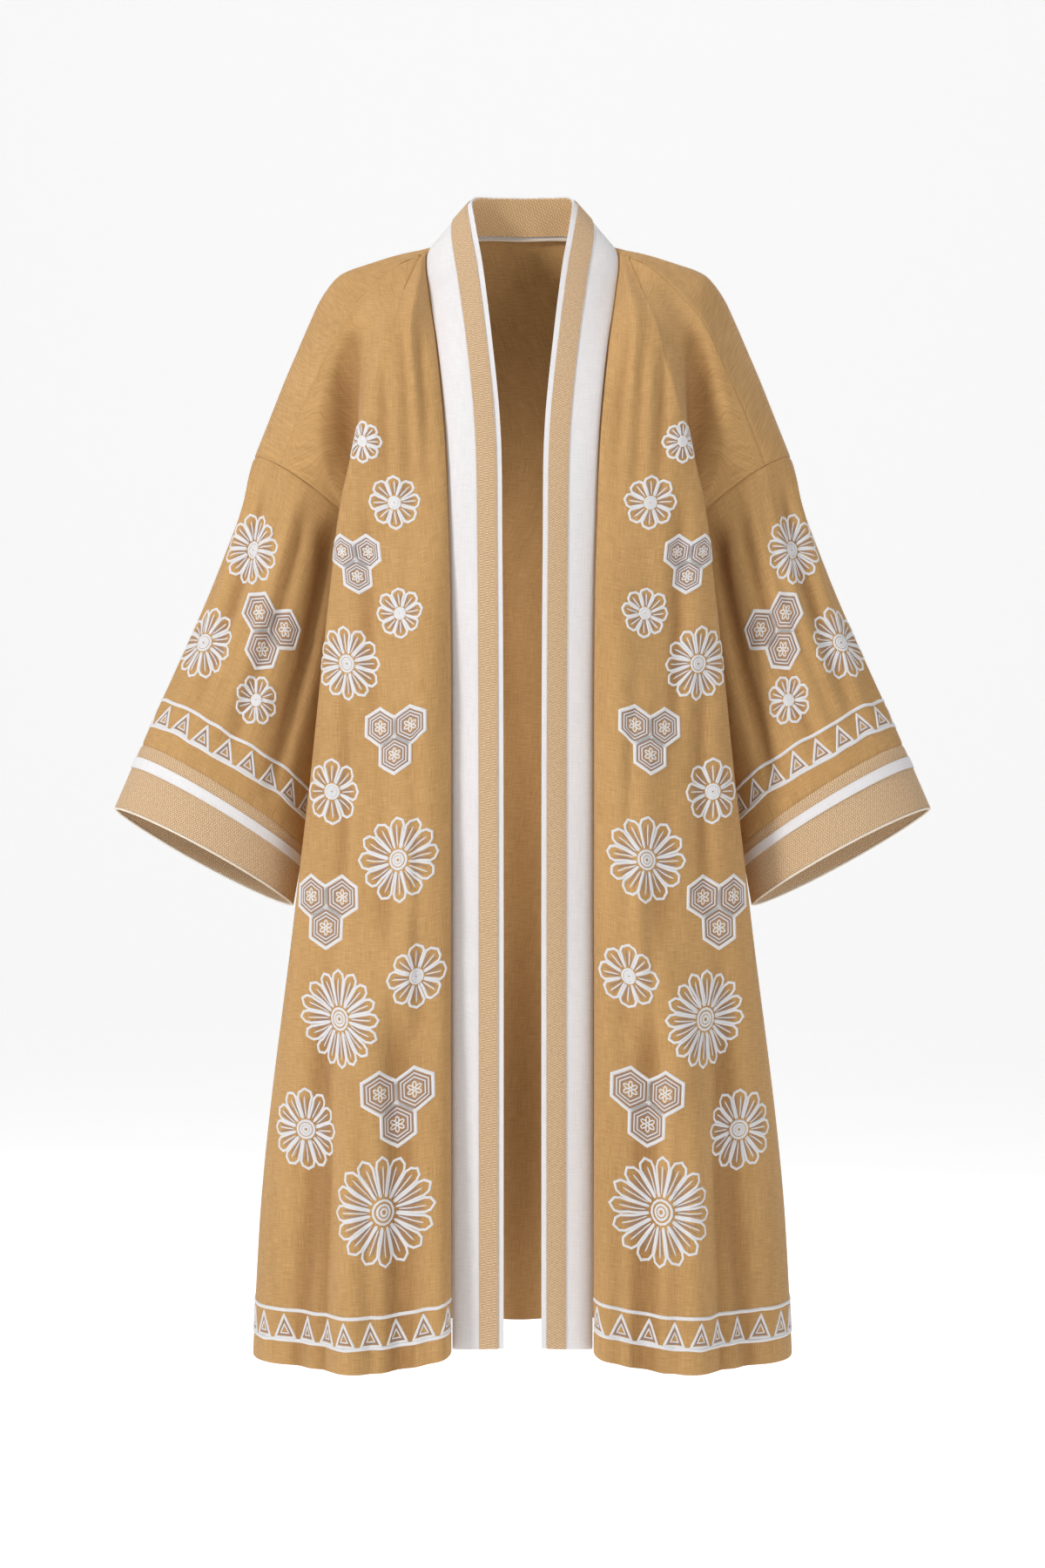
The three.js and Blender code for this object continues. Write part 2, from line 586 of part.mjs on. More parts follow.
// A round cord along points that each have a normal.
const CORD_SIDES = 6;
function cord(points, normals, radius, closed) {
  const count = points.length;
  const vertices = points.flatMap((point, i) => {
    const before = points[closed ? (i + count - 1) % count : Math.max(0, i - 1)];
    const after = points[closed ? (i + 1) % count : Math.min(count - 1, i + 1)];
    const tangent = after.clone().sub(before).normalize();
    const side = tangent.clone().cross(normals[i]).normalize();
    const up = side.clone().cross(tangent);
    return Array.from({ length: CORD_SIDES }, (_, k) => {
      const turn = (2 * Math.PI * k) / CORD_SIDES;
      const offset = up.clone().multiplyScalar(Math.cos(turn)).addScaledVector(side, Math.sin(turn));
      return point.clone().addScaledVector(offset, radius);
    });
  });
  const faces = [];
  for (let i = 0; i < (closed ? count : count - 1); i++) {
    for (let k = 0; k < CORD_SIDES; k++) {
      const next = ((i + 1) % count) * CORD_SIDES;
      const [a, b] = [i * CORD_SIDES + k, i * CORD_SIDES + ((k + 1) % CORD_SIDES)];
      const [c, d] = [next + ((k + 1) % CORD_SIDES), next + k];
      faces.push(a, b, c, a, c, d);
    }
  }
  for (let k = 1; k < CORD_SIDES - 1 && !closed; k++) {
    const end = (count - 1) * CORD_SIDES;
    faces.push(0, k + 1, k, end, end + k, end + k + 1);
  }
  return geometryOf(vertices, faces);
}

// Geometry of vertices and triangles, turned so that its faces point out.
function geometryOf(vertices, faces) {
  let volume = 0;
  for (let i = 0; i < faces.length; i += 3) {
    const [a, b, c] = [vertices[faces[i]], vertices[faces[i + 1]], vertices[faces[i + 2]]];
    volume += a.dot(b.clone().cross(c));
  }
  const numbers = vertices.flatMap((p) => [p.x, p.y, p.z]);
  const geometry = new THREE.BufferGeometry();
  geometry.setAttribute("position", new THREE.Float32BufferAttribute(numbers, 3));
  geometry.setIndex(volume < 0 ? [...faces].reverse() : faces);
  geometry.computeVertexNormals();
  return geometry;
}

shareNormals(Object.values(sewn));

// On the straight start of the shoulder seam the front's normals run evenly between its ends, as the back's
// do.
for (const [name, step] of [["front_left", -1], ["front_right", 1]]) {
  const top = sewn[name].normals[0];
  const neck = step > 0 ? 0 : top.length - 1;
  const foldEnd = neck + step * foldColumns;
  for (let k = 1; k < foldColumns; k++) {
    top[neck + step * k] = top[neck].clone().lerp(top[foldEnd], k / foldColumns).normalize();
  }
}

const group = new THREE.Group();
group.name = "kimono_robe";
function add(name, geometry, colour, roughness) {
  const color = new THREE.Color(colour);
  const material = new THREE.MeshStandardMaterial({ color, roughness, metalness: 0 });
  const mesh = new THREE.Mesh(geometry, material);
  mesh.name = name;
  group.add(mesh);
}

for (const name of ["front_left", "front_right", "back", "sleeve_left", "sleeve_right"]) {
  const panel = sewn[name];
  const solid = wall(cutBack(panel), panel.normals, -CLOTH / 2, CLOTH / 2, panel.closed);
  add(name, solid, COLOURS.cloth, 0.85);
}
for (const name of ["cuff_left", "cuff_right"]) {
  const panel = sewn[name];
  const solid = wall(cutBack(panel), panel.normals, -BAND / 2, BAND / 2, true);
  add(name, solid, COLOURS.webbing, 0.8);
}
const collar = sewn.collar_band;
const collarSolid = wall(cutBack(collar), collar.normals, -BAND / 2, BAND / 2);
add("collar_band", collarSolid, COLOURS.white, 0.75);

// Tapes lie on the band and on the cuffs: they are made from the points below them, moved out.
const TAPE_INNER = BAND / 2 + LAY_GAP;
const columnsOf = (grid, from, to) => grid.map((row) => row.slice(from, to + 1));
const webbingPoints = columnsOf(collar.points, 2, 3);
const webbingNormals = columnsOf(collar.normals, 2, 3);
const webbing = wall(webbingPoints, webbingNormals, TAPE_INNER, TAPE_INNER + TAPE);
add("collar_webbing", webbing, COLOURS.webbing, 0.8);
for (const side of ["left", "right"]) {
  const { points, normals } = sewn[`cuff_${side}`];
  const tape = wall(points.slice(1, 3), normals.slice(1, 3), TAPE_INNER, TAPE_INNER + TAPE, true);
  add(`cuff_tape_${side}`, tape, COLOURS.white, 0.75);
  const end = points.length - 1;
  const opening = points[end].map((point, j) => {
    const onward = point.clone().sub(points[end - 1][j]).normalize();
    return point.clone().addScaledVector(onward, PIPING + LAY_GAP);
  });
  add(`cuff_piping_${side}`, cord(opening, normals[end], PIPING, true), COLOURS.cord, 0.7);
}

// Facing inside the neck, and the piping along its foot
const middleRow = (collar.points.length - 1) / 2;
const neckGrid = (grid) => grid.slice(middleRow - NECK_STEPS, middleRow + NECK_STEPS + 1);
const neckPoints = neckGrid(collar.points);
const neckNormals = neckGrid(collar.normals);
const facingPoints = columnsOf(neckPoints, 1, 4);
const facingNormals = columnsOf(neckNormals, 1, 4);
const facing = wall(facingPoints, facingNormals, -TAPE_INNER - TAPE, -TAPE_INNER);
add("neck_facing", facing, COLOURS.facing, 0.85);
const pipingNormals = neckNormals.map((row) => row[0]);
const pipingLine = neckPoints.map((row, i) =>
  row[0].clone().addScaledVector(pipingNormals[i], -TAPE_INNER - PIPING),
);
add("neck_piping", cord(pipingLine, pipingNormals, PIPING, false), COLOURS.cord, 0.7);

export default group;
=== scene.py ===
import math
import bmesh
import bpy
import numpy as np
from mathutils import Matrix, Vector
from mathutils.bvhtree import BVHTree


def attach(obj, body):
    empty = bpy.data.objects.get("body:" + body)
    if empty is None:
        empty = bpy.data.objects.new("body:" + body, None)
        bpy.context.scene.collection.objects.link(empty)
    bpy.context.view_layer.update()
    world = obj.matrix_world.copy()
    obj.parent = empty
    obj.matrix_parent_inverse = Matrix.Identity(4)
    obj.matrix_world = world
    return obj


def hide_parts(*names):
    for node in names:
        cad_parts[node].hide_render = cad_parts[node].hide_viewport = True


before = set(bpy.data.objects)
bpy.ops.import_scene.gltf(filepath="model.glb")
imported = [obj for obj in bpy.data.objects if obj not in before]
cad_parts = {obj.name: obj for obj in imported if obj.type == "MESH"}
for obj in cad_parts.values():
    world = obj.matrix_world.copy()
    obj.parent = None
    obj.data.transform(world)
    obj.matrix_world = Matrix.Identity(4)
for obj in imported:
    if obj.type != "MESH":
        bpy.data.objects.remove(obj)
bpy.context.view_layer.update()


# Studio. A pale floor that rises into a wall behind, under soft light from the front left, the right and
# above. The camera stands level with the middle of the robe, 3.4 m in front of it.
FLOOR_LEVEL = -1.62
FLOOR_SIZE = 16.0
WALL_HEIGHT = 9.0
COVE_RADIUS = 3.0
COVE_STEPS = 14
SENSOR_WIDTH = 36
CAMERA_PLACE = (0.0, -3.36, -0.611)
CAMERA_LENS = 68.54

bpy.ops.object.select_all(action="DESELECT")
bpy.ops.mesh.primitive_plane_add(size=FLOOR_SIZE, location=(0, 1.0, FLOOR_LEVEL))
floor = bpy.context.object
floor.name = "floor"
bpy.ops.object.mode_set(mode="EDIT")
cove = bmesh.from_edit_mesh(floor.data)
bpy.ops.mesh.select_all(action="DESELECT")
for edge in cove.edges:
    edge.select_set(all(v.co.y > 0 for v in edge.verts))
bmesh.update_edit_mesh(floor.data)
bpy.ops.mesh.extrude_region_move(TRANSFORM_OT_translate={"value": (0, 0, WALL_HEIGHT)})
bpy.ops.mesh.select_all(action="DESELECT")
cove = bmesh.from_edit_mesh(floor.data)
for edge in cove.edges:
    edge.select_set(len(edge.link_faces) == 2)
bmesh.update_edit_mesh(floor.data)
bpy.ops.mesh.bevel(offset=COVE_RADIUS, segments=COVE_STEPS)
bpy.ops.object.mode_set(mode="OBJECT")
bpy.ops.object.shade_smooth()
paper = bpy.data.materials.new("floor_paper")
paper.use_nodes = True
paper_shader = paper.node_tree.nodes["Principled BSDF"]
paper_shader.inputs["Base Color"].default_value = (0.80, 0.80, 0.80, 1)
paper_shader.inputs["Roughness"].default_value = 0.9
paper_shader.inputs["Emission Color"].default_value = (1, 1, 1, 1)
paper_shader.inputs["Emission Strength"].default_value = 0.62
floor.data.materials.append(paper)

world = bpy.data.worlds.new("studio")
bpy.context.scene.world = world
world.use_nodes = True
world.node_tree.nodes["Background"].inputs["Color"].default_value = (1.0, 1.0, 1.0, 1)
world.node_tree.nodes["Background"].inputs["Strength"].default_value = 0.24
LIGHTS = [
    # name, place, aimed at, size, watts
    ("key", (-3.1, -2.5, 1.5), (0, -0.1, -0.6), 0.9, 118),
    ("fill", (2.4, -3.6, 0.4), (0, -0.1, -0.7), 1.8, 34),
    ("top", (0.2, -0.6, 2.6), (0, -0.1, -0.6), 1.2, 30),
    ("rear", (0.8, 3.2, 1.0), (0, 0, -0.6), 2.6, 40),
]
for name, place, aim, size, watts in LIGHTS:
    bpy.ops.object.light_add(type="AREA", location=place)
    lamp = bpy.context.object
    lamp.name = name + "_light"
    lamp.data.size = size
    lamp.data.energy = watts
    lamp.rotation_euler = (Vector(aim) - Vector(place)).to_track_quat("-Z", "Y").to_euler()

# A weak lamp inside the robe lights the inner side of its back, and isn't seen itself.
bpy.ops.object.light_add(type="AREA", location=(0, -0.12, -0.56), rotation=(math.radians(90), 0, 0))
inner = bpy.context.object
inner.name = "inner_light"
inner.data.shape = "RECTANGLE"
inner.data.size = 0.16
inner.data.size_y = 0.62
inner.data.energy = 0.46
inner.visible_camera = False

bpy.ops.object.camera_add(location=CAMERA_PLACE, rotation=(math.radians(90), 0, 0))
camera = bpy.context.object
camera.data.lens = CAMERA_LENS
camera.data.sensor_width = SENSOR_WIDTH
bpy.context.scene.camera = camera
bpy.context.scene.view_settings.view_transform = "Standard"


# Body. Two fronts and a back of plain-woven ochre linen cotton, sewn at shoulders and sides. Each panel is a
# thin shell on the outside of its solid: a grid the size of its cut, moved onto the solid, with its creases
# pushed in and its seam edges rolled under.
CLOTH_THICK = 0.0012
CAD_CLOTH = 0.002
CLOTH_STEP = 0.0046
SEAM_ROLL = 0.0012
SEAM_ROLL_WIDTH = 0.0022
FOLD_DEPTH = 0.0055
PANEL_LENGTH = 1.25
EDGE_STEPS = (0.0012, 0.0026)
# Painted shade: cloth in the hollows of its folds and creases is darkened in its colour, by up to this share,
# towards this tint.
PAINTED_SHADE_STRENGTH = 0.62
PAINTED_SHADE_TINT = (0.60, 0.50, 0.42, 1)


def outer_rows(node, wall, start, facing=None):
    """Rows of points on the outside of a solid's wall, from the corner nearest to start."""
    mesh = bmesh.new()
    mesh.from_mesh(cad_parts[node].data)
    bmesh.ops.remove_doubles(mesh, verts=mesh.verts, dist=1e-6)
    rim = {f for e in mesh.edges if abs(e.calc_length() - wall) < 2e-6 for f in e.link_faces}
    bmesh.ops.delete(mesh, geom=list(rim), context="FACES")
    layers = []
    left = set(mesh.faces)
    while left:
        layer = {left.pop()}
        frontier = list(layer)
        while frontier:
            found = {f for e in frontier.pop().edges for f in e.link_faces} & left
            left -= found
            layer |= found
            frontier += found
        layers.append(layer)
    way = Vector(facing) if facing else None
    score = (lambda f: f.calc_area() * f.normal.dot(way)) if facing else (lambda f: f.calc_area())
    layers.sort(key=lambda layer: sum(score(f) for f in layer))
    inner = [f for layer in layers[:-1] for f in layer]
    bmesh.ops.delete(mesh, geom=inner, context="FACES")
    after = {}
    for edge in mesh.edges:
        if len(edge.link_faces) == 1:
            loop = edge.link_loops[0]
            after[loop.link_loop_next.vert] = loop.vert
    corners = [v for v in after if len(v.link_faces) == 2] or list(after)
    first = min(corners, key=lambda v: (v.co - Vector(start)).length)
    row = [first]
    while len(row) == 1 or (row[-1] is not first and len(row[-1].link_faces) != 1):
        row.append(after[row[-1]])
    used = set()

    def third(a, b):
        fresh = [f for f in mesh.edges.get((a, b)).link_faces if f not in used]
        used.update(fresh[:1])
        return next((v for v in fresh[0].verts if v not in (a, b)), None) if fresh else None

    rows = []
    while row:
        rows.append([v.co[:] for v in row])
        below = []
        for a, b in zip(row, row[1:]):
            opposite = third(a, b)
            if opposite is None:
                break
            under = third(a, opposite)
            below += [opposite] if below else [under, opposite]
        gap = lambda other: sum((a.co - b.co).length for a, b in zip(row[:-1], other))
        if row[0] is row[-1] and below and gap(below[1:]) < gap(below):
            below = below[1:] + below[1:2]
        row = below
    mesh.free()
    return np.array(rows)[:, ::-1]


def refine(points, spacing):
    """Points of a smooth surface through the rows, a spacing apart, and closer at its edges."""
    for axis in (0, 1):
        points = np.swapaxes(points, 0, axis)
        steps = np.linalg.norm(np.diff(points, axis=0), axis=2).mean(axis=1)
        place = np.concatenate([[0], np.cumsum(steps)])
        slopes = np.gradient(points, place, axis=0, edge_order=2 if len(steps) > 1 else 1)
        border = np.array(EDGE_STEPS)
        even = np.linspace(0, place[-1], max(3, round(place[-1] / spacing)) + 1)
        wanted = np.sort(np.concatenate([even, border, place[-1] - border]))
        k = np.clip(np.searchsorted(place, wanted, side="right") - 1, 0, len(steps) - 1)
        h = steps[k][:, None, None]
        t = ((wanted - place[k]) / steps[k])[:, None, None]
        points = (
            (2 * t**3 - 3 * t**2 + 1) * points[k]
            + (t**3 - 2 * t**2 + t) * h * slopes[k]
            + (3 * t**2 - 2 * t**3) * points[k + 1]
            + (t**3 - t**2) * h * slopes[k + 1]
        )
        points = np.swapaxes(points, 0, axis)
    return points


def normals_of(points):
    """Unit normals of a grid of points, which point out of the cloth."""
    across = np.gradient(points, axis=1)
    down = np.gradient(points, axis=0)
    normal = np.cross(across, down)
    return normal / np.maximum(np.linalg.norm(normal, axis=2, keepdims=True), 1e-12)


def smooth_step(t):
    t = np.clip(t, 0, 1)
    return t * t * (3 - 2 * t)


def lengths_from(points, axis, parts=(0, 1, 2)):
    """Length along the rows or columns, from their start, of the named parts of each step."""
    steps = np.linalg.norm(np.diff(points[:, :, list(parts)], axis=axis), axis=2)
    return np.insert(np.cumsum(steps, axis=axis), 0, 0, axis=axis)


def crease(points, normals, creases, margin=0.02):
    """Sinks soft troughs along paths of (height, place across). A ridge has a negative depth."""
    across = lengths_from(points, 1)
    edge = np.minimum(across, across[:, -1:] - across)
    sunk = np.zeros(points.shape[:2])
    for path, depth, width, fade_in, fade_out in creases:
        heights = [-p[0] for p in path]
        place = np.interp(-points[:, :, 2], heights, [p[1] for p in path])
        start = smooth_step((-points[:, :, 2] - heights[0]) / fade_in)
        end = smooth_step((heights[-1] + points[:, :, 2]) / fade_out) if fade_out else 1
        sunk += depth * start * end * np.exp(-(((points[:, :, 0] - place) / width) ** 2))
    return points - normals * (sunk * smooth_step(edge / margin))[:, :, None]


def roll_seams(points, normals, seams):
    """Turns the seam edges of a panel under by a little, as a pressed seam does."""
    across, down = lengths_from(points, 1), lengths_from(points, 0)
    distances = {
        "top": down, "foot": down[-1:] - down, "first": across, "last": across[:, -1:] - across,
    }
    near = np.min([distances[seam] for seam in seams], axis=0)
    return points - normals * (SEAM_ROLL * np.exp(-((near / SEAM_ROLL_WIDTH) ** 2)))[:, :, None]


def painted_shade_of_folds(points, reach=0.022):
    """From 0 to 1, how much painted shade each point gets: how deep it lies in a crease, below the line between its
    neighbours across.
    """
    step = np.linalg.norm(np.diff(points, axis=1), axis=2).mean()
    k = max(1, round(reach / step))
    wide = np.pad(points, ((0, 0), (k, k), (0, 0)), mode="edge")
    line = (wide[:, : -2 * k] + wide[:, 2 * k :]) / 2
    depth = ((line - points) * normals_of(points)).sum(axis=2)
    return np.clip(depth / FOLD_DEPTH, 0, 1)


def sheet_piece(name, points, across, down, thick, closed=False):
    """A grid of the cloth's size, moved onto the points, with the painted shade of its folds. Its UV map is the
    flat cloth, in metres.
    """
    rows, columns = points.shape[:2]
    bpy.ops.object.select_all(action="DESELECT")
    bpy.ops.mesh.primitive_grid_add(x_subdivisions=columns - 1, y_subdivisions=rows - 1, size=1)
    piece = bpy.context.object
    piece.name = piece.data.name = name
    piece.data.vertices.foreach_set("co", points.astype(np.float32).ravel())
    corner = np.empty(len(piece.data.loops), np.int32)
    piece.data.loops.foreach_get("vertex_index", corner)
    flat = np.stack([across.ravel(), -down.ravel()], axis=1)[corner]
    piece.data.uv_layers[0].data.foreach_set("uv", flat.astype(np.float32).ravel())
    # Painted shade: how deep each point lies in the hollows of folds and creases, which the cloth materials paint
    # darker.
    painted_shade = piece.data.attributes.new("painted_shade", "FLOAT", "POINT")
    painted_shade.data.foreach_set("value", painted_shade_of_folds(points).astype(np.float32).ravel())
    if closed:
        bpy.ops.object.mode_set(mode="EDIT")
        bpy.ops.mesh.select_all(action="SELECT")
        bpy.ops.mesh.remove_doubles(threshold=1e-5)
        bpy.ops.object.mode_set(mode="OBJECT")
    wall = piece.modifiers.new("wall", "SOLIDIFY")
    wall.thickness = thick
    wall.offset = -1
    bpy.ops.object.modifier_apply(modifier="wall")
    bpy.ops.object.shade_smooth_by_angle(angle=math.radians(50))
    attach(piece, "root")
    return piece


# Woven cloth as a node group: slubs along both threads, a soft uneven tone and a plain weave.
weave = bpy.data.node_groups.new("woven_cloth", "ShaderNodeTree")
for socket, kind, direction in [
    ("Flat", "NodeSocketVector", "INPUT"),
    ("Pale", "NodeSocketColor", "INPUT"),
    ("Deep", "NodeSocketColor", "INPUT"),
    ("Threads", "NodeSocketFloat", "INPUT"),
    ("Slubs", "NodeSocketFloat", "INPUT"),
    ("Color", "NodeSocketColor", "OUTPUT"),
    ("Height", "NodeSocketFloat", "OUTPUT"),
]:
    weave.interface.new_socket(name=socket, in_out=direction, socket_type=kind)


def add_node(tree, kind, values=None, links=None, **settings):
    """A node with its settings, its input values and what its inputs are linked to."""
    node = tree.nodes.new("ShaderNode" + kind)
    for key, value in settings.items():
        setattr(node, key, value)
    for key, value in (values or {}).items():
        node.inputs[key].default_value = value
    for key, source in (links or {}).items():
        tree.links.new(source, node.inputs[key])
    return node


weave_in = weave.nodes.new("NodeGroupInput")
weave_out = weave.nodes.new("NodeGroupOutput")
flat = weave_in.outputs["Flat"]
tones = []
for stretch, scale in (((1, 14, 1), 70), ((14, 0.5, 1), 85)):
    mapped = add_node(weave, "Mapping", {"Scale": stretch}, {"Vector": flat})
    noise = add_node(weave, "TexNoise", {"Scale": scale, "Detail": 3}, {"Vector": mapped.outputs["Vector"]})
    tones.append(noise.outputs["Fac"])
slub = add_node(weave, "Math", None, {0: tones[0], 1: tones[1]}, operation="ADD")
slub = add_node(weave, "Math", {1: 1.0}, {0: slub.outputs[0]}, operation="SUBTRACT")
cloudy = add_node(weave, "TexNoise", {"Scale": 5.5, "Detail": 4}, {"Vector": flat})
streaky = add_node(weave, "Mapping", {"Scale": (9, 0.9, 1)}, {"Vector": flat})
streaky = add_node(weave, "TexNoise", {"Scale": 4, "Detail": 3}, {"Vector": streaky.outputs["Vector"]})
tone = add_node(weave, "Math", None, {0: cloudy.outputs["Fac"], 1: streaky.outputs["Fac"]}, operation="ADD")
tone = add_node(weave, "Math", {1: 0.5}, {0: tone.outputs[0]}, operation="MULTIPLY")
strong = add_node(weave, "Math", None, {0: slub.outputs[0], 1: weave_in.outputs["Slubs"]}, operation="MULTIPLY")
tone = add_node(weave, "Math", None, {0: tone.outputs[0], 1: strong.outputs[0]}, operation="ADD", use_clamp=True)
colour = add_node(weave, "Mix", None, {0: tone.outputs[0]}, data_type="RGBA")
weave.links.new(weave_in.outputs["Deep"], colour.inputs[6])
weave.links.new(weave_in.outputs["Pale"], colour.inputs[7])
weave.links.new(colour.outputs[2], weave_out.inputs["Color"])
parts = add_node(weave, "SeparateXYZ", None, {0: flat})
waves = []
for part in ("X", "Y"):
    counted = {0: parts.outputs[part], 1: weave_in.outputs["Threads"]}
    turned = add_node(weave, "Math", None, counted, operation="MULTIPLY")
    waves.append(add_node(weave, "Math", None, {0: turned.outputs[0]}, operation="SINE").outputs[0])
crossed = add_node(weave, "Math", None, {0: waves[0], 1: waves[1]}, operation="MULTIPLY")
height = add_node(weave, "Math", {1: 0.25}, {0: crossed.outputs[0]}, operation="MULTIPLY")
height = add_node(weave, "Math", None, {0: height.outputs[0], 1: slub.outputs[0]}, operation="ADD")
weave.links.new(height.outputs[0], weave_out.inputs["Height"])


def cloth_material(name, pale, deep, threads, slubs, relief, roughness, sheen):
    """Woven cloth on the piece's own UV map, with painted shade in the hollows of its folds."""
    made = bpy.data.materials.new(name)
    made.use_nodes = True
    tree = made.node_tree
    shader = tree.nodes["Principled BSDF"]
    shader.inputs["Roughness"].default_value = roughness
    shader.inputs["Sheen Weight"].default_value = sheen
    shader.inputs["Sheen Roughness"].default_value = 0.5
    shader.inputs["Specular IOR Level"].default_value = 0.25
    place = add_node(tree, "UVMap")
    cloth = tree.nodes.new("ShaderNodeGroup")
    cloth.node_tree = weave
    cloth.inputs["Pale"].default_value = (*pale, 1)
    cloth.inputs["Deep"].default_value = (*deep, 1)
    cloth.inputs["Threads"].default_value = threads
    cloth.inputs["Slubs"].default_value = slubs
    tree.links.new(place.outputs["UV"], cloth.inputs["Flat"])
    bump = add_node(tree, "Bump", {"Strength": 0.5, "Distance": relief}, {"Height": cloth.outputs["Height"]})
    # Painted shade: the colour is darkened towards a tint where the piece lies in the hollows of its folds.
    painted_shade = add_node(tree, "Attribute", attribute_name="painted_shade")
    depth = add_node(tree, "Math", {1: PAINTED_SHADE_STRENGTH}, {0: painted_shade.outputs["Fac"]}, operation="MULTIPLY")
    shade = add_node(
        tree, "Mix", {7: PAINTED_SHADE_TINT}, {0: depth.outputs[0]}, data_type="RGBA", blend_type="MULTIPLY",
    )
    tree.links.new(cloth.outputs["Color"], shade.inputs[6])
    tree.links.new(shade.outputs[2], shader.inputs["Base Color"])
    tree.links.new(bump.outputs["Normal"], shader.inputs["Normal"])
    return made


ochre = cloth_material(
    "ochre_linen", (0.585, 0.345, 0.140), (0.385, 0.215, 0.074), 7800, 1.5, 0.00045, 0.85, 0.08,
)

FRONT_CREASES = [
    # path of (height, place across), depth, width, fade in, fade out
    ([(-0.07, 0.116), (-0.20, 0.104), (-0.34, 0.098)], 0.0050, 0.007, 0.08, 0.14),
    ([(-0.09, 0.134), (-0.22, 0.124), (-0.36, 0.118)], 0.0055, 0.008, 0.08, 0.12),
    ([(-0.10, 0.158), (-0.24, 0.148), (-0.38, 0.144)], 0.0055, 0.009, 0.08, 0.14),
    ([(-0.26, 0.172), (-0.50, 0.166), (-0.66, 0.170)], 0.0075, 0.012, 0.12, 0.18),
    ([(-0.42, 0.196), (-0.60, 0.192), (-0.84, 0.200)], 0.0080, 0.012, 0.12, 0.20),
    ([(-0.44, 0.122), (-0.70, 0.110), (-0.98, 0.106)], 0.0075, 0.010, 0.16, 0.20),
    ([(-0.60, 0.146), (-0.95, 0.134), (-1.23, 0.128)], 0.0110, 0.014, 0.28, 0),
    ([(-0.68, 0.208), (-1.00, 0.226), (-1.23, 0.246)], 0.0115, 0.016, 0.28, 0),
    ([(-0.78, 0.176), (-1.05, 0.182), (-1.23, 0.188)], -0.0050, 0.015, 0.24, 0),
    ([(-0.88, 0.172), (-1.10, 0.164), (-1.23, 0.158)], 0.0060, 0.008, 0.16, 0),
    ([(-0.94, 0.110), (-1.12, 0.104), (-1.23, 0.100)], 0.0060, 0.009, 0.16, 0),
    ([(-0.90, 0.206), (-1.08, 0.208), (-1.23, 0.214)], 0.0050, 0.007, 0.16, 0),
]
BACK_CREASES = [
    # path of (height, place across), depth, width, fade in, fade out
    ([(-0.13, 0.150), (-0.30, 0.140), (-0.46, 0.128)], 0.0070, 0.014, 0.10, 0.16),
    ([(-0.15, -0.156), (-0.30, -0.142), (-0.48, -0.132)], 0.0070, 0.014, 0.10, 0.16),
    ([(-0.40, 0.060), (-0.75, 0.058), (-1.23, 0.070)], 0.0095, 0.018, 0.25, 0),
    ([(-0.46, -0.052), (-0.80, -0.060), (-1.23, -0.074)], 0.0100, 0.018, 0.25, 0),
    ([(-0.30, -0.030), (-0.45, -0.024), (-0.60, -0.012)], 0.0035, 0.012, 0.10, 0.12),
    ([(-0.34, 0.042), (-0.50, 0.036), (-0.66, 0.030)], 0.0030, 0.011, 0.10, 0.14),
    ([(-0.62, 0.182), (-0.90, 0.190), (-1.23, 0.198)], 0.0090, 0.015, 0.20, 0),
    ([(-0.60, -0.176), (-0.90, -0.182), (-1.23, -0.186)], 0.0090, 0.015, 0.20, 0),
    ([(-0.80, 0.122), (-1.00, 0.128), (-1.23, 0.134)], 0.0065, 0.011, 0.20, 0),
    ([(-0.76, -0.112), (-1.00, -0.120), (-1.23, -0.130)], 0.0065, 0.011, 0.20, 0),
]


def body_panel(name, start, facing, creases, reference):
    """A panel of the body: its outside, its flat lengths from the reference column, and its piece."""
    rows = np.swapaxes(outer_rows(name, CAD_CLOTH, start, facing)[:, ::-1], 0, 1)
    base = refine(rows, CLOTH_STEP)
    points = crease(base, normals_of(base), creases)
    points = roll_seams(points, normals_of(points), ["top", "first", "last"])
    across = lengths_from(points, 1, (0, 1))
    across = np.abs(across - across[:, [reference]])
    down = lengths_from(points, 0, (1, 2))
    down = down - down[-1:] + PANEL_LENGTH
    piece = sheet_piece(name + "_cloth", points, across, down, CLOTH_THICK)
    piece.data.materials.append(ochre)
    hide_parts(name)
    return {"points": points, "normals": normals_of(points), "across": across, "down": down, "piece": piece}


mirrored_creases = [([(z, -x) for z, x in path], *rest) for path, *rest in FRONT_CREASES]
front_left = body_panel("front_left", (0.247, -0.109, -0.216), (0, -1, 0), FRONT_CREASES, -1)
front_right = body_panel("front_right", (-0.105, -0.052, -0.022), (0, -1, 0), mirrored_creases, 0)
back = body_panel("back", (-0.25, -0.11, -0.22), (0, 1, 0), BACK_CREASES, 0)


# Sleeves. A wide tube of the same cloth on each side, cut with a seam under the arm, with soft folds where it
# hangs from the armhole.
SLEEVE_CREASES = [
    # path of (share down the sleeve, share round it from the underarm over the back), depth, width
    ([(0.0, 0.50), (0.45, 0.53), (0.9, 0.56)], 0.00675, 0.016),
    ([(0.0, 0.60), (0.5, 0.62), (1.0, 0.63)], 0.00900, 0.015),
    ([(0.0, 0.70), (0.5, 0.69), (0.8, 0.68)], 0.00525, 0.010),
    ([(0.0, 0.78), (0.5, 0.76), (1.0, 0.73)], 0.00900, 0.013),
    ([(0.05, 0.87), (0.5, 0.87), (0.8, 0.86)], 0.00750, 0.011),
    ([(0.0, 0.38), (0.5, 0.37), (1.0, 0.36)], 0.00825, 0.017),
    ([(0.0, 0.22), (0.5, 0.24), (1.0, 0.26)], 0.00900, 0.015),
    ([(0.0, 0.10), (0.5, 0.12), (0.8, 0.13)], 0.00750, 0.011),
]
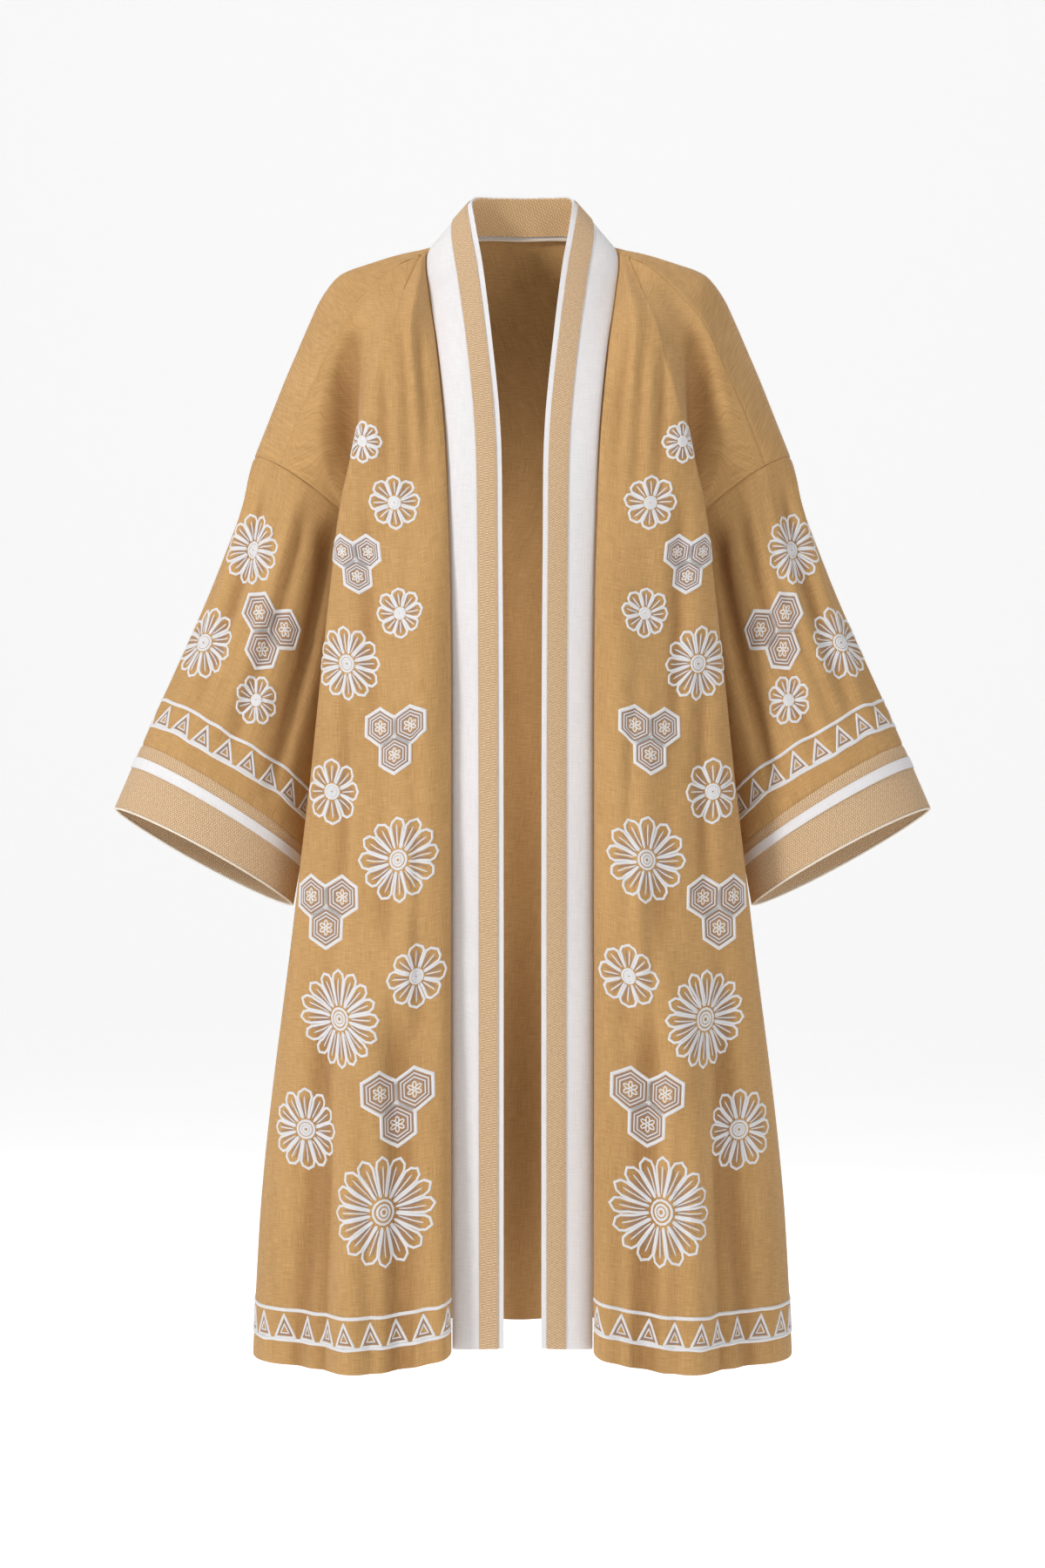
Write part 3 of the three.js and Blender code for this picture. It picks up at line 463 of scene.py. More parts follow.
SLEEVE_UNDERARM = (0.170, -0.050, -0.345)
FADE_IN = 5
FADE_OUT = 4


def tube_lengths(points, front_way):
    """Flat lengths of a tube: round it from its outer line, positive in front, and down it."""
    round_it = lengths_from(points, 1)
    outer = np.argmax(np.abs(points[:, :, 0]).mean(axis=0))
    return (round_it - round_it[:, [outer]]) * front_way, lengths_from(points, 0)


def crease_tube(points, normals, creases, turned):
    """Sinks soft troughs along a tube, which fade out towards both its ends."""
    share_down = np.linspace(0, 1, points.shape[0])[:, None]
    round_it = lengths_from(points, 1)
    share = round_it / round_it[:, -1:]
    share = 1 - share if turned else share
    sunk = np.zeros(share.shape)
    for path, depth, width in creases:
        place = np.interp(share_down, [p[0] for p in path], [p[1] for p in path])
        fade = smooth_step(share_down * FADE_IN) * smooth_step((1 - share_down) * FADE_OUT)
        sunk += depth * fade * np.exp(-(((share - place) * round_it[:, -1:] / width) ** 2))
    return points - normals * sunk[:, :, None]


sleeves = {}
for side, sign in (("left", 1), ("right", -1)):
    name = "sleeve_" + side
    x, y, z = SLEEVE_UNDERARM
    base = refine(outer_rows(name, CAD_CLOTH, (x * sign, y, z)), CLOTH_STEP)
    points = crease_tube(base, normals_of(base), SLEEVE_CREASES, sign < 0)
    points = roll_seams(points, normals_of(points), ["top", "foot"])
    across, down = tube_lengths(points, sign)
    piece = sheet_piece(name + "_cloth", points, across, down, CLOTH_THICK, closed=True)
    piece.data.materials.append(ochre)
    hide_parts(name)
    sleeves[side] = {
        "points": points, "normals": normals_of(points), "across": across, "down": down, "piece": piece,
    }


# Cuffs. A folded band of tan herringbone webbing round each opening, with a white cotton tape sewn on below
# its seam and a cream piping stitched round its edge.
CAD_BAND = 0.0024
CUFF_THICK = 0.0022
TAPE_THICK = 0.0008
TAPE_RISE = 0.0011
TAPE_SHARES = (13 / 65, 24 / 65)
CUFF_STEP = 0.0036
CUFF_UNDERARM = (0.2416, -0.080, -0.680)
PIPING_RADIUS = 0.0014
PIPING_GAP = 0.0001
STRIP_ROWS = 8

# Herringbone as a node group: slanted ribs that change their way every few millimetres.
herringbone = bpy.data.node_groups.new("herringbone", "ShaderNodeTree")
for socket, kind, direction in [
    ("Flat", "NodeSocketVector", "INPUT"),
    ("Pale", "NodeSocketColor", "INPUT"),
    ("Deep", "NodeSocketColor", "INPUT"),
    ("Ribs", "NodeSocketFloat", "INPUT"),
    ("Rows", "NodeSocketFloat", "INPUT"),
    ("Color", "NodeSocketColor", "OUTPUT"),
    ("Height", "NodeSocketFloat", "OUTPUT"),
]:
    herringbone.interface.new_socket(name=socket, in_out=direction, socket_type=kind)
bone_in = herringbone.nodes.new("NodeGroupInput")
bone_out = herringbone.nodes.new("NodeGroupOutput")
parts = add_node(herringbone, "SeparateXYZ", None, {0: bone_in.outputs["Flat"]})
folded = {0: parts.outputs["X"], 1: bone_in.outputs["Rows"]}
zigzag = add_node(herringbone, "Math", None, folded, operation="PINGPONG")
slant = add_node(herringbone, "Math", None, {0: parts.outputs["Y"], 1: zigzag.outputs[0]}, operation="ADD")
slant = add_node(herringbone, "Math", None, {0: slant.outputs[0], 1: bone_in.outputs["Ribs"]}, operation="MULTIPLY")
ribs = add_node(herringbone, "Math", None, {0: slant.outputs[0]}, operation="SINE")
ribs = add_node(herringbone, "Math", {1: 0.5, 2: 0.5}, {0: ribs.outputs[0]}, operation="MULTIPLY_ADD")
specks = add_node(herringbone, "TexNoise", {"Scale": 420, "Detail": 2}, {"Vector": bone_in.outputs["Flat"]})
mottled = add_node(herringbone, "Math", None, {0: ribs.outputs[0], 1: specks.outputs["Fac"]}, operation="MULTIPLY")
mottled = add_node(herringbone, "Math", {1: 1.7}, {0: mottled.outputs[0]}, operation="MULTIPLY", use_clamp=True)
tone = add_node(herringbone, "Mix", None, {0: mottled.outputs[0]}, data_type="RGBA")
herringbone.links.new(bone_in.outputs["Deep"], tone.inputs[6])
herringbone.links.new(bone_in.outputs["Pale"], tone.inputs[7])
herringbone.links.new(tone.outputs[2], bone_out.inputs["Color"])
herringbone.links.new(mottled.outputs[0], bone_out.inputs["Height"])


def webbing_material(name, pale, deep, ribs, rows):
    """Herringbone webbing on the piece's own UV map."""
    made = bpy.data.materials.new(name)
    made.use_nodes = True
    tree = made.node_tree
    shader = tree.nodes["Principled BSDF"]
    shader.inputs["Roughness"].default_value = 0.8
    shader.inputs["Sheen Weight"].default_value = 0.1
    shader.inputs["Specular IOR Level"].default_value = 0.25
    place = add_node(tree, "UVMap")
    bone = tree.nodes.new("ShaderNodeGroup")
    bone.node_tree = herringbone
    bone.inputs["Pale"].default_value = (*pale, 1)
    bone.inputs["Deep"].default_value = (*deep, 1)
    bone.inputs["Ribs"].default_value = ribs
    bone.inputs["Rows"].default_value = rows
    tree.links.new(place.outputs["UV"], bone.inputs["Flat"])
    bump = add_node(tree, "Bump", {"Strength": 0.6, "Distance": 0.0004}, {"Height": bone.outputs["Height"]})
    tree.links.new(bone.outputs["Color"], shader.inputs["Base Color"])
    tree.links.new(bump.outputs["Normal"], shader.inputs["Normal"])
    return made


tan_webbing = webbing_material("tan_webbing", (0.76, 0.56, 0.365), (0.38, 0.235, 0.115), 2300, 0.0030)
white_cotton = cloth_material("white_cotton", (0.79, 0.77, 0.775), (0.66, 0.64, 0.645), 5200, 1.2, 0.0004, 0.8, 0.1)
cream_cord = cloth_material("cream_cord", (0.80, 0.72, 0.61), (0.68, 0.58, 0.46), 4200, 0.8, 0.0003, 0.75, 0.1)


def cord_rows(points, normals, radius, sides=10, closed=True):
    """Rings of points round a cord that follows the points, each ring ended on its first point."""
    if closed:
        tangent = np.roll(points, -1, axis=0) - np.roll(points, 1, axis=0)
    else:
        tangent = np.gradient(points, axis=0)
    tangent /= np.linalg.norm(tangent, axis=1, keepdims=True)
    beside = np.cross(tangent, normals)
    beside /= np.linalg.norm(beside, axis=1, keepdims=True)
    above = np.cross(beside, tangent)
    turn = np.linspace(0, 2 * math.pi, sides + 1)[None, :, None]
    rings = points[:, None] + radius * (above[:, None] * np.cos(turn) + beside[:, None] * np.sin(turn))
    return np.concatenate([rings, rings[:1]]) if closed else rings


def cord_piece(name, points, normals, radius, closed=True):
    """A round cord along the points, as a grid closed on itself."""
    rings = cord_rows(points, normals, radius, closed=closed)
    rows, columns = rings.shape[:2]
    bpy.ops.object.select_all(action="DESELECT")
    bpy.ops.mesh.primitive_grid_add(x_subdivisions=columns - 1, y_subdivisions=rows - 1, size=1)
    piece = bpy.context.object
    piece.name = piece.data.name = name
    piece.data.vertices.foreach_set("co", rings.astype(np.float32).ravel())
    corner = np.empty(len(piece.data.loops), np.int32)
    piece.data.loops.foreach_get("vertex_index", corner)
    length = np.insert(np.cumsum(np.linalg.norm(np.diff(rings[:, 0], axis=0), axis=1)), 0, 0)
    turn = np.linspace(0, 2 * math.pi * radius, columns)
    flat = np.stack(np.meshgrid(turn, length), axis=2).reshape(-1, 2)[corner]
    piece.data.uv_layers[0].data.foreach_set("uv", flat.astype(np.float32).ravel())
    bpy.ops.object.mode_set(mode="EDIT")
    bpy.ops.mesh.select_all(action="SELECT")
    bpy.ops.mesh.remove_doubles(threshold=1e-5)
    bpy.ops.mesh.fill_holes(sides=0)
    bpy.ops.mesh.normals_make_consistent(inside=False)
    bpy.ops.object.mode_set(mode="OBJECT")
    bpy.ops.object.shade_smooth_by_angle(angle=math.radians(60))
    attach(piece, "root")
    return piece


def strip(points, axis, start, end):
    """The part of a surface between two shares of its width."""
    points = np.swapaxes(points, 0, axis)
    share = lengths_from(points, 0).mean(axis=1)
    share = share / share[-1]
    wanted = np.linspace(start, end, STRIP_ROWS)
    k = np.clip(np.searchsorted(share, wanted) - 1, 0, len(share) - 2)
    t = ((wanted - share[k]) / (share[k + 1] - share[k]))[:, None, None]
    return np.swapaxes((1 - t) * points[k] + t * points[k + 1], 0, axis)


cuffs = {}
for side, sign in (("left", 1), ("right", -1)):
    x, y, z = CUFF_UNDERARM
    rows = outer_rows("cuff_" + side, CAD_BAND, (x * sign, y, z))
    points = refine(rows, CUFF_STEP)
    normals = normals_of(points)
    points = roll_seams(points, normals, ["top"])
    across, down = tube_lengths(points, sign)
    cuff = sheet_piece(f"cuff_{side}_webbing", points, down, across, CUFF_THICK, closed=True)
    cuff.data.materials.append(tan_webbing)
    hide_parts("cuff_" + side)

    tape_points = strip(points, 0, *TAPE_SHARES)
    tape_points = tape_points + normals_of(tape_points) * TAPE_RISE
    tape_across, tape_down = tube_lengths(tape_points, sign)
    tape = sheet_piece(f"cuff_{side}_tape", tape_points, tape_down, tape_across, TAPE_THICK, closed=True)
    tape.data.materials.append(white_cotton)
    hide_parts("cuff_tape_" + side)

    onward = points[-1] - points[-2]
    onward /= np.linalg.norm(onward, axis=1, keepdims=True)
    middle = points[-1] - normals[-1] * CAD_BAND / 2 + onward * (PIPING_RADIUS + PIPING_GAP)
    piping = cord_piece(f"cuff_{side}_piping", middle[:-1], normals[-1][:-1], PIPING_RADIUS)
    piping.data.materials.append(cream_cord)
    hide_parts("cuff_piping_" + side)
    tape_panel = {
        "points": tape_points, "normals": normals_of(tape_points), "across": tape_across, "down": tape_down,
    }
    cuffs[side] = {"piece": cuff, "tape": tape, "piping": piping, "tape_panel": tape_panel}


# Collar band. One white cotton band, folded double, sewn from hem to hem round the neck. Tan webbing is
# stitched along it so that a narrow white edge stays free.
BAND_THICK = 0.0022
BAND_STEP = 0.0040
BAND_START = (-0.076, -0.190, -1.211)
WEBBING_SHARES = (0.55, 0.905)

rows = outer_rows("collar_band", CAD_BAND, BAND_START, (0, -1, 0))
band_points = refine(rows, BAND_STEP)
band_points = roll_seams(band_points, normals_of(band_points), ["top"])
band_across, band_down = lengths_from(band_points, 0), lengths_from(band_points, 1)
band = sheet_piece("collar_band_cloth", band_points, band_across, band_down, BAND_THICK)
band.data.materials.append(white_cotton)
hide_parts("collar_band")

tape_points = strip(band_points, 0, *WEBBING_SHARES)
tape_points = tape_points + normals_of(tape_points) * TAPE_RISE
tape_across, tape_down = lengths_from(tape_points, 0), lengths_from(tape_points, 1)
collar_tape = sheet_piece("collar_webbing_tape", tape_points, tape_across, tape_down, TAPE_THICK)
collar_tape.data.materials.append(tan_webbing)
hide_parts("collar_webbing")

# Neck facing. Tan webbing inside the collar at the back of the neck, with a pale piping along its foot. Its colours
# are paler than the cuff webbing's: painted light, which lifts it out of the shade inside the collar.
CAD_FACING = 0.0012
FACING_START = (-0.105, -0.05, -0.01)
FACING_THICK = 0.0009
NECK_FOOT = -0.0205
PIPING_DEPTH = 0.0041

rows = outer_rows("neck_facing", CAD_FACING, FACING_START, (0, -1, 0))
facing_points = refine(rows, BAND_STEP)
facing_across, facing_down = lengths_from(facing_points, 0), lengths_from(facing_points, 1)
# Painted light: the facing's webbing gets paler colours than the cuff webbing, against the shade inside the collar.
neck_tan_painted_lighter = webbing_material("neck_webbing", (0.97, 0.69, 0.40), (0.57, 0.345, 0.155), 2300, 0.0030)
facing_piece = sheet_piece("neck_facing_webbing", facing_points, facing_across, facing_down, FACING_THICK)
facing_piece.data.materials.append(neck_tan_painted_lighter)
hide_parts("neck_facing")

neck = band_points[0][:, 2] > NECK_FOOT
neck_normals = normals_of(band_points)[0][neck]
neck_line = band_points[0][neck] - neck_normals * PIPING_DEPTH
neck_cord = cord_piece("neck_facing_piping", neck_line, neck_normals, PIPING_RADIUS, closed=False)
neck_cord.data.materials.append(cream_cord)
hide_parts("neck_piping")


# Embroidery. Off-white and taupe cotton cords, couched by hand on the ochre cloth: chrysanthemum roundels,
# trios of tortoiseshell hexagons and fish scale triangles. Each cord is drawn flat on the cut panel and then
# laid on the draped cloth.
CORD_STEP = 0.0032
OUTLINE = (0.0040, 0.0012)
LINE = (0.0029, 0.0009)
THREAD = (0.0015, 0.0005)
HAND = np.random.default_rng(7)
HAND_WOBBLE = 0.0005
HAND_REACH = 5
CORD_END = 0.45
STRAND_SLANT = 0.6
STRAND_SHADE = 0.86


def thread_material(name, colour, twists):
    """Twisted cotton thread: fine slanted strands along the cord."""
    made = bpy.data.materials.new(name)
    made.use_nodes = True
    tree = made.node_tree
    shader = tree.nodes["Principled BSDF"]
    shader.inputs["Roughness"].default_value = 0.7
    shader.inputs["Sheen Weight"].default_value = 0.15
    shader.inputs["Specular IOR Level"].default_value = 0.3
    place = add_node(tree, "UVMap")
    slanted = {"Rotation": (0, 0, STRAND_SLANT), "Scale": (twists, twists, 1)}
    turned = add_node(tree, "Mapping", slanted, {"Vector": place.outputs["UV"]})
    waved = {"Scale": 1.0, "Distortion": 1.5}
    strands = add_node(tree, "TexWave", waved, {"Vector": turned.outputs["Vector"]})
    uneven = add_node(tree, "TexNoise", {"Scale": 260, "Detail": 2}, {"Vector": place.outputs["UV"]})
    mottled = {0: strands.outputs["Fac"], 1: uneven.outputs["Fac"]}
    shade = add_node(tree, "Math", None, mottled, operation="MULTIPLY")
    tones = {6: (*[c * STRAND_SHADE for c in colour], 1), 7: (*colour, 1)}
    blend = add_node(tree, "Mix", tones, {0: shade.outputs[0]}, data_type="RGBA")
    bump = add_node(tree, "Bump", {"Strength": 0.6, "Distance": 0.0004}, {"Height": strands.outputs["Fac"]})
    tree.links.new(blend.outputs[2], shader.inputs["Base Color"])
    tree.links.new(bump.outputs["Normal"], shader.inputs["Normal"])
    return made


white_thread = thread_material("white_thread", (0.80, 0.785, 0.79), 260)
taupe_thread = thread_material("taupe_thread", (0.36, 0.235, 0.185), 300)


def lay_on(panel, flat):
    """Points on the draped cloth for flat ones: across, down and the height above the cloth."""
    rows, columns = panel["across"].shape
    plane = np.stack([panel["across"], panel["down"]], axis=2)
    if "tree" not in panel:
        index = np.arange(rows * columns).reshape(rows, columns)
        quads = np.stack([index[:-1, :-1], index[:-1, 1:], index[1:, 1:], index[1:, :-1]], axis=2)
        lifted = np.concatenate([plane, np.zeros((rows, columns, 1))], axis=2)
        panel["tree"] = BVHTree.FromPolygons(lifted.reshape(-1, 3).tolist(), quads.reshape(-1, 4).tolist())
    cells = np.array([panel["tree"].find_nearest((u, v, 0))[2] for u, v, _ in flat])
    i, j = np.divmod(cells, columns - 1)
    origin = plane[i, j]
    side, fall = plane[i, j + 1] - origin, plane[i + 1, j] - origin
    offset = flat[:, :2] - origin
    area = side[:, 0] * fall[:, 1] - side[:, 1] * fall[:, 0]
    s = np.clip((offset[:, 0] * fall[:, 1] - offset[:, 1] * fall[:, 0]) / area, -0.1, 1.1)[:, None]
    t = np.clip((side[:, 0] * offset[:, 1] - side[:, 1] * offset[:, 0]) / area, -0.1, 1.1)[:, None]
    mixed = [
        (1 - s) * (1 - t) * grid[i, j] + s * (1 - t) * grid[i, j + 1]
        + (1 - s) * t * grid[i + 1, j] + s * t * grid[i + 1, j + 1]
        for grid in (panel["points"], panel["normals"])
    ]
    return mixed[0] + mixed[1] * flat[:, 2:]


def cord_strip(line, closed, width, height):
    """A flat line as the stations of a half-round cord: places, heights and lengths, five a station."""
    line = np.array(line, float)
    ends = np.concatenate([line, line[:1]]) if closed else line
    path = [ends[0]]
    for a, b in zip(ends, ends[1:]):
        count = max(1, math.ceil(np.linalg.norm(b - a) / CORD_STEP))
        path += [a + (b - a) * k / count for k in range(1, count + 1)]
    path = np.array(path)
    forward = np.diff(path, axis=0)
    forward /= np.maximum(np.linalg.norm(forward, axis=1, keepdims=True), 1e-9)
    before = np.concatenate([forward[-1:] if closed else forward[:1], forward])
    after = np.concatenate([forward, forward[:1] if closed else forward[-1:]])
    mitre = before + after
    mitre /= np.maximum(np.linalg.norm(mitre, axis=1, keepdims=True), 1e-9)
    spread = 1 / np.maximum(0.6, (mitre * after).sum(axis=1))
    beside = np.stack([-mitre[:, 1], mitre[:, 0]], axis=1) * spread[:, None]
    knots = HAND.normal(0, HAND_WOBBLE, len(path) // HAND_REACH + 2)
    sway = np.interp(np.arange(len(path)) / HAND_REACH, np.arange(len(knots)), knots)
    path = path + beside * (0 if closed else sway[:, None])
    slim = np.ones(len(path))
    if not closed:
        slim[[0, -1]] = CORD_END
    shape = np.array([(-0.5, -0.15), (-0.34, 0.75), (0.0, 1.0), (0.34, 0.75), (0.5, -0.15)])
    places = path[:, None] + beside[:, None] * (shape[:, 0] * width)[None, :, None] * slim[:, None, None]
    heights = np.tile(shape[:, 1] * height, (len(path), 1)) * slim[:, None]
    length = np.insert(np.cumsum(np.linalg.norm(np.diff(path, axis=0), axis=1)), 0, 0)
    return places, heights, length, shape[:, 0] * width


def couch(name, panel, lines, size, material, under=0.0):
    """Lays cords along flat lines on a panel, or on its inside at a depth, joined as one piece."""
    width, height = size
    flats, faces, uvs, start = [], [], [], 0
    for line, closed in lines:
        places, heights, length, over = cord_strip(line, closed, width, height)
        count = len(length)
        heights = -under - heights if under else heights
        flats.append(np.concatenate([places, heights[:, :, None]], axis=2).reshape(-1, 3))
        index = start + np.arange(count * 5).reshape(count, 5)
        cells = np.stack([index[:-1, :-1], index[1:, :-1], index[1:, 1:], index[:-1, 1:]], axis=2)
        faces.append(cells.reshape(-1, 4))
        uvs.append(np.stack([np.repeat(length, 5), np.tile(over, count)], axis=1))
        start += count * 5
    faces = np.concatenate(faces)
    uvs = np.concatenate(uvs)
    corner, beside, below = [np.array([panel["across"][k], panel["down"][k]]) for k in ((5, 5), (5, 6), (6, 5))]
    turned = np.linalg.det([beside - corner, below - corner]) < 0
    if turned != bool(under):
        faces = faces[:, ::-1]
    mesh = bpy.data.meshes.new(name)
    mesh.from_pydata(lay_on(panel, np.concatenate(flats)).tolist(), [], faces.tolist())
    layer = mesh.uv_layers.new(name="UVMap")
    layer.data.foreach_set("uv", uvs[faces.ravel()].astype(np.float32).ravel())
    mesh.shade_smooth()
    piece = bpy.data.objects.new(name, mesh)
    bpy.context.collection.objects.link(piece)
    piece.data.materials.append(material)
    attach(piece, "root")
    panel.setdefault("carried", []).append(piece)
    return piece


def ring_of(centre, radius, sides):
    """Corners of an even polygon, the first straight down from its centre."""
    angles = np.linspace(0, 2 * math.pi, sides, endpoint=False)
    return np.array(centre) + radius * np.stack([np.sin(angles), np.cos(angles)], axis=1)


def hexagon(design, centre, radius):
    """A tortoiseshell cell: a stout outline, fine rings of white and taupe, and six small petals."""
    design["outline"].append((ring_of(centre, radius, 6), True))
    for share, thread in [(0.83, "taupe"), (0.75, "white"), (0.65, "taupe"), (0.57, "white"), (0.48, "taupe")]:
        design[thread].append((ring_of(centre, radius * share, 6), True))
    for k in range(6):
        way = np.array([math.sin(k * math.pi / 3), math.cos(k * math.pi / 3)])
        side = np.array([-way[1], way[0]])
        petal = [
            np.array(centre) + radius * (way * (0.21 - 0.15 * math.cos(a)) + side * 0.085 * math.sin(a))
            for a in np.linspace(0, 2 * math.pi, 9)[:-1]
        ]
        design["line" if radius > 0.024 else "white"].append((petal, True))


def roundel(design, centre, radius, petals=16):
    """A chrysanthemum roundel: rounded petals round a ringed heart."""
    heart, middle = radius * 0.22, radius * 0.82
    for k in range(petals):
        turn = 2 * math.pi * k / petals
        half = math.pi / petals
        tips = [
            (turn - half * 0.82, heart * 1.25), (turn - half * 0.86, middle), (turn - half * 0.6, radius * 0.93),
            (turn, radius), (turn + half * 0.6, radius * 0.93), (turn + half * 0.86, middle),
            (turn + half * 0.82, heart * 1.25),
        ]
        place = lambda tip: np.array(centre) + tip[1] * np.array([math.sin(tip[0]), math.cos(tip[0])])
        design["line"].append(([place(tip) for tip in tips], False))
        for share in (0.40, 0.0, -0.40):
            thread = "taupe" if share else "white"
            way = turn + half * share
            tip = middle * (1.02 - abs(share) * 0.12)
            design[thread].append(([place((way, heart * 1.5)), place((way, tip))], False))
    for share in (1.0, 0.62, 0.3):
        design["line"].append((ring_of(centre, heart * share, 14), True))


def trio(design, centre, cell):
    """Three tortoiseshell cells that meet at one corner."""
    for across, down in ((-math.sqrt(3) / 2, -0.5), (math.sqrt(3) / 2, -0.5), (0, 1)):
        hexagon(design, np.array(centre) + cell * np.array([across, down]), cell)


def scatter(design, kind, centre, radius):
    """One motif of the scatter: a trio of cells, or a roundel with fewer petals where it is small."""
    if kind == "trio":
        trio(design, centre, radius / 2)
    else:
        roundel(design, centre, radius, 16 if radius > 0.05 else 12 if radius > 0.036 else 8)


def scale_band(design, foot, top):
    """Fish scale triangles that stand between two plain cords."""
    design["outline"] += [(foot, False), (top, False)]
    for k in range(len(foot) - 1):
        corners = np.array([foot[k], foot[k + 1], (top[k] + top[k + 1]) / 2])
        heart = corners.mean(axis=0)
        for share, part in ((0.74, "line"), (0.46, "taupe"), (0.30, "white")):
            design[part].append((heart + (corners - heart) * share, True))


def new_design():
    """Lists of flat lines, one for each kind of cord."""
    return {"outline": [], "line": [], "white": [], "taupe": []}


def couch_design(name, panel, design):
    """Couches a design on a panel, one piece for each kind of cord."""
    for part, size, material in (
        ("outline", OUTLINE, white_thread), ("line", LINE, white_thread),
        ("white", THREAD, white_thread), ("taupe", THREAD, taupe_thread),
    ):
        if design[part]:
            couch(f"{name}_{part}", panel, design[part], size, material)


# The fronts carry a loose scatter of chrysanthemum roundels and trios of hexagons, which grows smaller from
# the hem to the chest. A band of fish scale triangles between plain cords runs all round above the hem.
def flat_at(panel, x, z):
    """The flat place of the cloth that faces the front at a given place."""
    points, normals = panel["points"], panel["normals"]
    miss = np.hypot(np.abs(points[:, :, 0]) - x, points[:, :, 2] - z) + 0.2 * (normals[:, :, 1] > -0.25)
    i, j = np.unravel_index(np.argmin(miss), miss.shape)
    return np.array([panel["across"][i, j], panel["down"][i, j]])


def hem_line(panel, rise, start, end, count=60):
    """Flat places a given distance above the hem, between two shares of the hem's length."""
    across, down = panel["across"][-1], panel["down"][-1]
    order = np.argsort(across)
    places = across.min() + (across.max() - across.min()) * np.linspace(start, end, count)
    return np.stack([places, np.interp(places, across[order], down[order]) - rise], axis=1)


FRONT_SCATTER = [
    # motif, distance from the middle of the robe, height, radius
    ("roundel", 0.145, -1.062, 0.058), ("roundel", 0.232, -0.980, 0.042), ("trio", 0.130, -0.945, 0.046),
    ("roundel", 0.192, -0.862, 0.051), ("roundel", 0.114, -0.812, 0.033), ("trio", 0.212, -0.742, 0.044),
    ("roundel", 0.133, -0.690, 0.045), ("roundel", 0.203, -0.618, 0.034), ("trio", 0.134, -0.560, 0.040),
    ("roundel", 0.188, -0.484, 0.039), ("roundel", 0.130, -0.430, 0.026), ("trio", 0.180, -0.372, 0.035),
    ("roundel", 0.136, -0.310, 0.028), ("roundel", 0.172, -0.246, 0.022),
]
SCALE_FEET = 0.026
SCALE_TOPS = 0.058
SCALE_PITCH = 0.030


def hem_band(design, panel, start, end):
    """The band of triangles above a panel's hem, between two shares of the hem's length."""
    width = (end - start) * np.ptp(panel["across"][-1])
    count = round(width / SCALE_PITCH) + 1
    scale_band(design, *[hem_line(panel, rise, start, end, count) for rise in (SCALE_FEET, SCALE_TOPS)])


for side, panel in (("left", front_left), ("right", front_right)):
    design = new_design()
    for kind, x, z, radius in FRONT_SCATTER:
        scatter(design, kind, flat_at(panel, x, z), radius)
    hem_band(design, panel, 0.03, 0.995)
    couch_design(f"front_{side}_embroidery", panel, design)

# The same band goes on round the back, which is otherwise plain.
design = new_design()
hem_band(design, back, 0.005, 0.995)
couch_design("back_embroidery", back, design)

# Each sleeve has four motifs of the scatter on its front, and the band of triangles all round above the cuff.
SLEEVE_SCATTER = [
    # motif, distance round the sleeve, distance down it, radius
    ("roundel", 0.060, 0.098, 0.038), ("trio", 0.118, 0.165, 0.044), ("roundel", 0.040, 0.214, 0.040),
    ("roundel", 0.132, 0.240, 0.026),
]
SLEEVE_FEET = 0.318
SLEEVE_TOPS = 0.288
SLEEVE_SCALES = 18
SEAM_CLEAR = 0.003


def round_line(panel, down, count):
    """Flat places at one distance down a sleeve, from one side of its underarm seam to the other."""
    row = np.argmin(np.abs(panel["down"].mean(axis=1) - down))
    first, last = sorted(panel["across"][row, [0, -1]])
    return np.stack([np.linspace(first + SEAM_CLEAR, last - SEAM_CLEAR, count), np.full(count, down)], axis=1)


for side, panel in sleeves.items():
    design = new_design()
    for kind, across, down, radius in SLEEVE_SCATTER:
        scatter(design, kind, (across, down), radius)
    scale_band(design, *[round_line(panel, down, SLEEVE_SCALES) for down in (SLEEVE_FEET, SLEEVE_TOPS)])
    couch_design(f"sleeve_{side}_embroidery", panel, design)


